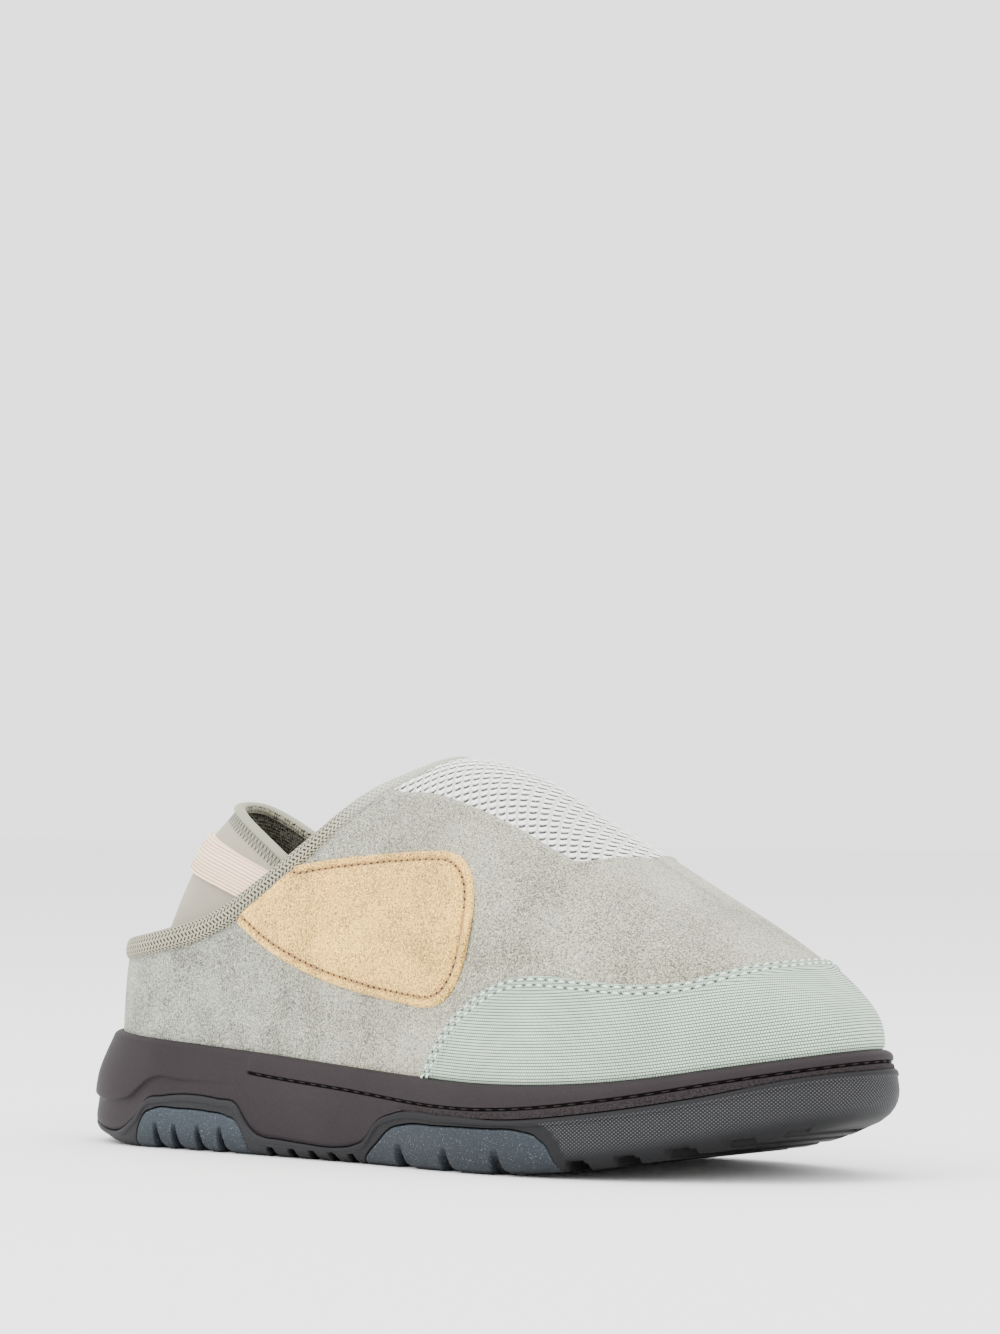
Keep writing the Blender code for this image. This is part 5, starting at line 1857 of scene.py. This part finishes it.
@dataclass
class Binding:
    """Knit binding on the topline: an oval section carried round the collar."""

    columns: int = 900
    sides: int = 36
    height: float = 0.0076
    thickness: float = 0.0050
    taper: float = 0.58
    seat: float = 0.86
    sink: float = 0.0008
    squareness: float = 0.85

    def topline(self) -> tuple[Array, Array, Array]:
        """Even points round the topline, with directions away from the upper and outward.

        Returns:
            Points, directions away from the upper, and outward directions.
        """
        top = LAST.throat_marks[2]
        share = np.sin(np.linspace(0, np.pi / 2, 1500))
        outer = top * share
        turn = np.concatenate([outer, 1 - outer[-2:0:-1]])
        rise = LAST.rise_at_collar(turn)
        point = LAST.point(turn, rise)
        normal = LAST.normal(turn, np.minimum(rise, 0.97))
        s = run_length(np.vstack([point, point[:1]]))
        even = np.arange(self.columns) / self.columns * s[-1]
        ring = [at_lengths(even, s, np.vstack([v, v[:1]])) for v in (point, normal)]
        kernel = np.hanning(31)
        kernel /= kernel.sum()
        reach = len(kernel) // 2
        ring = [np.stack([np.convolve(np.concatenate([v[-reach:, k], v[:, k], v[:reach, k]]), kernel, "valid")
                          for k in range(3)], -1) for v in ring]
        point, normal = ring
        tangent = unit(np.roll(point, -1, 0) - np.roll(point, 1, 0))
        normal = unit(normal - tangent * np.sum(normal * tangent, -1, keepdims=True))
        return point, np.cross(normal, tangent), normal

    def build(self) -> None:
        """Builds the binding: rings of a flattened circle, tapering towards the throat."""
        point, away, normal = self.topline()
        share = LAST.share_of(point[:, 0])
        taper = np.interp(share, (COLLAR[4, 0], COLLAR[7, 0]), (1, self.taper))[:, None]
        half = taper * self.height / 2
        thick = taper * self.thickness / 2
        centre = point + away * half * self.seat - normal * self.sink
        angle = np.linspace(0, 2 * np.pi, self.sides + 1)
        c, s = (np.sign(v) * np.abs(v) ** self.squareness for v in (np.cos(angle), np.sin(angle)))
        points = centre + away * half * c[:, None, None] + normal * thick * s[:, None, None]
        ring = np.vstack([point, point[:1]])
        u = np.broadcast_to(run_length(ring), (len(angle), self.columns + 1))
        around = angle[:, None] * (self.height + self.thickness) / 4
        flat = np.stack([u, np.broadcast_to(around, u.shape)], -1)
        knit = Knit("binding_knit", srgb(166, 160, 136), srgb(10, 9, 6), srgb(196, 196, 180))
        piece = sheet_object("collar_knit", [Sheet(points, flat, wrap=True)], [knit.material()])
        settle(piece, "binding", "collar_binding")


@dataclass
class HeelSock:
    """Sock round the heel with a rolled rim, and the elastic band round its back."""

    columns: int = 300
    wall: float = 0.0025
    height: float = 0.1165
    lean: float = 0.25
    slope: float = 0.60
    reach: float = 0.235
    hinge: float = 0.215
    rim: float = 0.0022
    pinch: float = 0.46
    pinch_depth: float = 0.022
    band_width: float = 0.0135
    band_thickness: float = 0.0015
    band_height: float = 0.1000
    band_slope: float = 0.37
    band_reach: float = 0.198
    ribs: int = 10
    inset: float = 0.0059
    stand: float = 0.0046
    rib_depth: float = 0.00035

    def point(self, turn: Array, z: Array, inward: float = 0.0) -> Array:
        """Point on the sock's outside: the last inside the binding, leant forward at the heel.

        Args:
            turn: Places round the shoe.
            z: Heights, in metres.
            inward: How far inside the outside, in metres.

        Returns:
            Points x, y, z.
        """
        turn, z = np.broadcast_arrays(turn, z)
        signed = turn - np.round(turn)
        rise = LAST.rise_at_height(turn, z)
        place = LAST.point(turn, rise) - LAST.normal(turn, rise) * (self.inset + inward)
        free = np.clip(1 - (signed / self.hinge) ** 2, 0, 1)
        place[..., 0] += self.lean * free * (z - LAST.top(along_of(turn)))
        rim = self.height - self.slope * (place[..., 0] - self.rear_x)
        close = ease(z, rim - self.pinch_depth, rim) * (1 - 0.45 * ease(np.abs(signed), 0.03, 0.20))
        middle = LAST.crest_y(LAST.share_of(place[..., 0]))
        place[..., 1] -= (place[..., 1] - middle) * self.pinch * close
        return place

    @cached_property
    def rear_x(self) -> float:
        """Place of the sock's rim at the heel on the long axis."""
        rise = LAST.rise_at_height(np.zeros(1), np.array([self.height]))
        place = LAST.point(np.zeros(1), rise) - LAST.normal(np.zeros(1), rise) * self.inset
        return float(place[0, 0] + self.lean * (self.height - LAST.top(0.0)))

    def plane(self, turn: Array, start: float, slope: float) -> Array:
        """Height on the sock of a plane that starts at the heel and falls towards the toe.

        Args:
            turn: Places round the shoe.
            start: Height at the heel, in metres.
            slope: Fall for each metre forward.

        Returns:
            Heights, in metres.
        """
        z = np.full(np.shape(turn), start)
        back = self.point(np.zeros(1), np.array([start]))[0, 0]
        for _ in range(12):
            z = start - slope * (self.point(turn, z)[..., 0] - back)
        return z

    def build(self) -> None:
        """Builds the sock: up its outside, over the rolled rim and down its lining."""
        turn = self.reach * np.linspace(-1, 1, self.columns)
        foot = LAST.top(along_of(turn)) - LAST.cup_depth + self.stand
        top = self.plane(turn, self.height - self.rim, self.slope)
        share = np.linspace(0, 1, 46)[:, None]
        outer = self.point(turn, foot + (top - foot) * share)
        inner = self.point(turn, foot + (top - foot) * share[::-1], self.wall)
        up = unit(outer[-1] - outer[-3])
        side = unit(np.cross(np.gradient(outer[-1], axis=0), up))
        centre = (outer[-1] + inner[0]) / 2
        arc = np.linspace(-0.10, 1.10, 17)[:, None, None] * np.pi
        rim = centre + side * np.cos(arc) * self.rim + up * (0.3 + np.sin(arc)) * self.rim
        points = np.concatenate([outer, rim, inner])
        count = len(outer)
        length = run_length(points, 0)
        crest = length[count + 8]
        inside = np.zeros(points.shape[:2])
        inside[count + 10:] = 1
        u = np.broadcast_to(run_length(points[30]), points.shape[:2])
        flat = np.stack([u, np.abs(length - crest)], -1)
        mask = np.stack([inside * 0, inside], -1)
        knit = Jersey().material()
        settle(sheet_object("heel_sock_knit", [Sheet(points, flat, mask)], [knit]), "sock", "heel_sock")
        self.band()

    def band(self) -> None:
        """Builds the band: lengthwise ribs across its width, on a strip laid round the sock."""
        turn = self.band_reach * np.linspace(-1, 1, self.columns)
        middle = self.plane(turn, self.band_height, self.band_slope)
        steep = np.linalg.norm(self.point(turn, middle + STEP) - self.point(turn, middle), axis=-1) / STEP
        share = np.linspace(-0.5, 0.5, 81)[:, None]
        z = middle + self.band_width / steep * share
        wave = np.abs(np.sin(np.pi * self.ribs * (share + 0.5))) ** 0.6
        edge = ease(0.5 - np.abs(share), 0.0, 0.03)
        out = GAP + self.band_thickness * edge - self.rib_depth * (1 - wave)
        outer = self.point(turn, z, 0) + LAST.normal(turn, LAST.rise_at_height(turn, z)) * out[..., None]
        inner = self.point(turn, z[[-1, 0]], -GAP)
        points = np.concatenate([outer, inner, outer[:1]])
        flat = laid_flat(points, 40)
        piece = sheet_object("elastic_band_cloth", [Sheet(points, flat)], [Elastic().material()])
        settle(piece, "elastic", "elastic_band")


@dataclass(frozen=True)
class Lamp:
    """Soft square light."""

    name: str
    place: tuple[float, float, float]
    size: float
    power: float

    def build(self) -> None:
        """Builds the light, aimed at the middle of the shoe."""
        data = bpy.data.lights.new(self.name, "AREA")
        data.size = self.size
        data.energy = self.power
        lamp = bpy.data.objects.new(self.name, data)
        back = unit(np.array(self.place) - [0, 0, 0.05])
        right = unit(np.cross([0, 0, 1], back))
        turned = Matrix([*zip(right, np.cross(back, right), back)]).to_4x4()
        turned.translation = self.place
        lamp.matrix_world = turned
        bpy.context.scene.collection.objects.link(lamp)


@dataclass
class Studio:
    """Pale floor, soft lights and the camera."""

    azimuth: float = 38.5
    elevation: float = 2.3
    roll: float = 0.2
    distance: float = 1.5
    focus: float = 4650.0
    aim: tuple[float, float] = (473.6, 970.5)
    picture: tuple[int, int] = (1000, 1334)
    sensor: float = 36.0
    centre: tuple[float, float, float] = (0.0, 0.0, 0.060)
    world: float = 2.3
    lamps: tuple[Lamp, ...] = field(default=(
        Lamp("key_light", (-0.5, -1.3, 1.7), 1.2, 30.0),
        Lamp("toe_light", (1.8, -0.4, 1.2), 1.0, 10.0),
        Lamp("top_light", (0.1, 0.3, 2.0), 1.6, 24.0),
    ))

    def build(self) -> None:
        """Builds floor, world, lights and camera."""
        self.floor()
        self.sky()
        for lamp in self.lamps:
            lamp.build()
        self.camera()

    def floor(self) -> None:
        """Builds the floor, with a faint unevenness in its tone."""
        book = Book("pale_floor")
        tone = book.noise(3, 2)
        colour = book.blend(tone * 0.2, srgb(250, 250, 250), srgb(246, 246, 246))
        material = book.finish(Base_Color=colour, Roughness=0.9, Specular_IOR_Level=0.1)
        at = np.linspace(-6, 6, 5)
        x, y = np.meshgrid(at, at)
        points = np.stack([x, y, np.zeros_like(x)], -1)
        sheet_object("pale_floor", [Sheet(points)], [material])

    def sky(self) -> None:
        """Sets an even white surrounding light."""
        world = bpy.data.worlds.new("studio_white")
        world.use_nodes = True
        background = world.node_tree.nodes["Background"]
        background.inputs["Color"].default_value = (1, 1, 1, 1)
        background.inputs["Strength"].default_value = self.world
        bpy.context.scene.world = world

    def camera(self) -> None:
        """Sets the camera at the fitted place, turned so that its axis meets the frame's middle."""
        az, el, roll = np.radians([self.azimuth, self.elevation, self.roll])
        back = np.array([np.sin(az) * np.cos(el), -np.cos(az) * np.cos(el), np.sin(el)])
        right = np.array([np.cos(az), np.sin(az), 0.0])
        up = np.cross(back, right)
        right, up = right * np.cos(roll) + up * np.sin(roll), up * np.cos(roll) - right * np.sin(roll)
        place = np.array(self.centre) + back * self.distance
        pitch = np.arctan((self.aim[1] - self.picture[1] / 2) / self.focus)
        yaw = np.arctan((self.picture[0] / 2 - self.aim[0]) / self.focus)
        ahead = -back * np.cos(pitch) + up * np.sin(pitch)
        up = unit(up * np.cos(pitch) + back * np.sin(pitch))
        ahead = unit(ahead * np.cos(yaw) + right * np.sin(yaw))
        right = unit(np.cross(ahead, up))
        data = bpy.data.cameras.new("studio_camera")
        data.sensor_width = self.sensor
        data.lens = self.focus / self.picture[1] * self.sensor
        camera = bpy.data.objects.new("studio_camera", data)
        turned = Matrix([*zip(right, up, -ahead)]).to_4x4()
        turned.translation = place
        camera.matrix_world = turned
        bpy.context.scene.collection.objects.link(camera)
        bpy.context.scene.camera = camera


def main() -> None:
    """Builds the shoe's pieces from the floor up, then the studio."""
    logging.basicConfig(level=logging.INFO, format="%(name)s %(message)s")
    Midsole().build()
    Outsole().build()
    frosted = Frosted().material()
    heel, ball = (0.1668, 0.1943, 0.2292, 0.2622), (0.532, 0.600, 0.669)
    for side, word in ((Side.OUTER, "lateral"), (Side.INNER, "medial")):
        Insert(f"heel_pod_{word}", HEEL_POD, side, heel, 0.0034, 0.0090).build(frosted)
        Insert(f"ball_pod_{word}", BALL_POD, side, ball, 0.0048, 0.0078).build(frosted)
    Insole().build()
    Upper().build()
    ThroatNet().build()
    ToeCap().build()
    SidePatch().build()
    Binding().build()
    HeelSock().build()
    Studio().build()


if __name__ == "__main__":
    main()
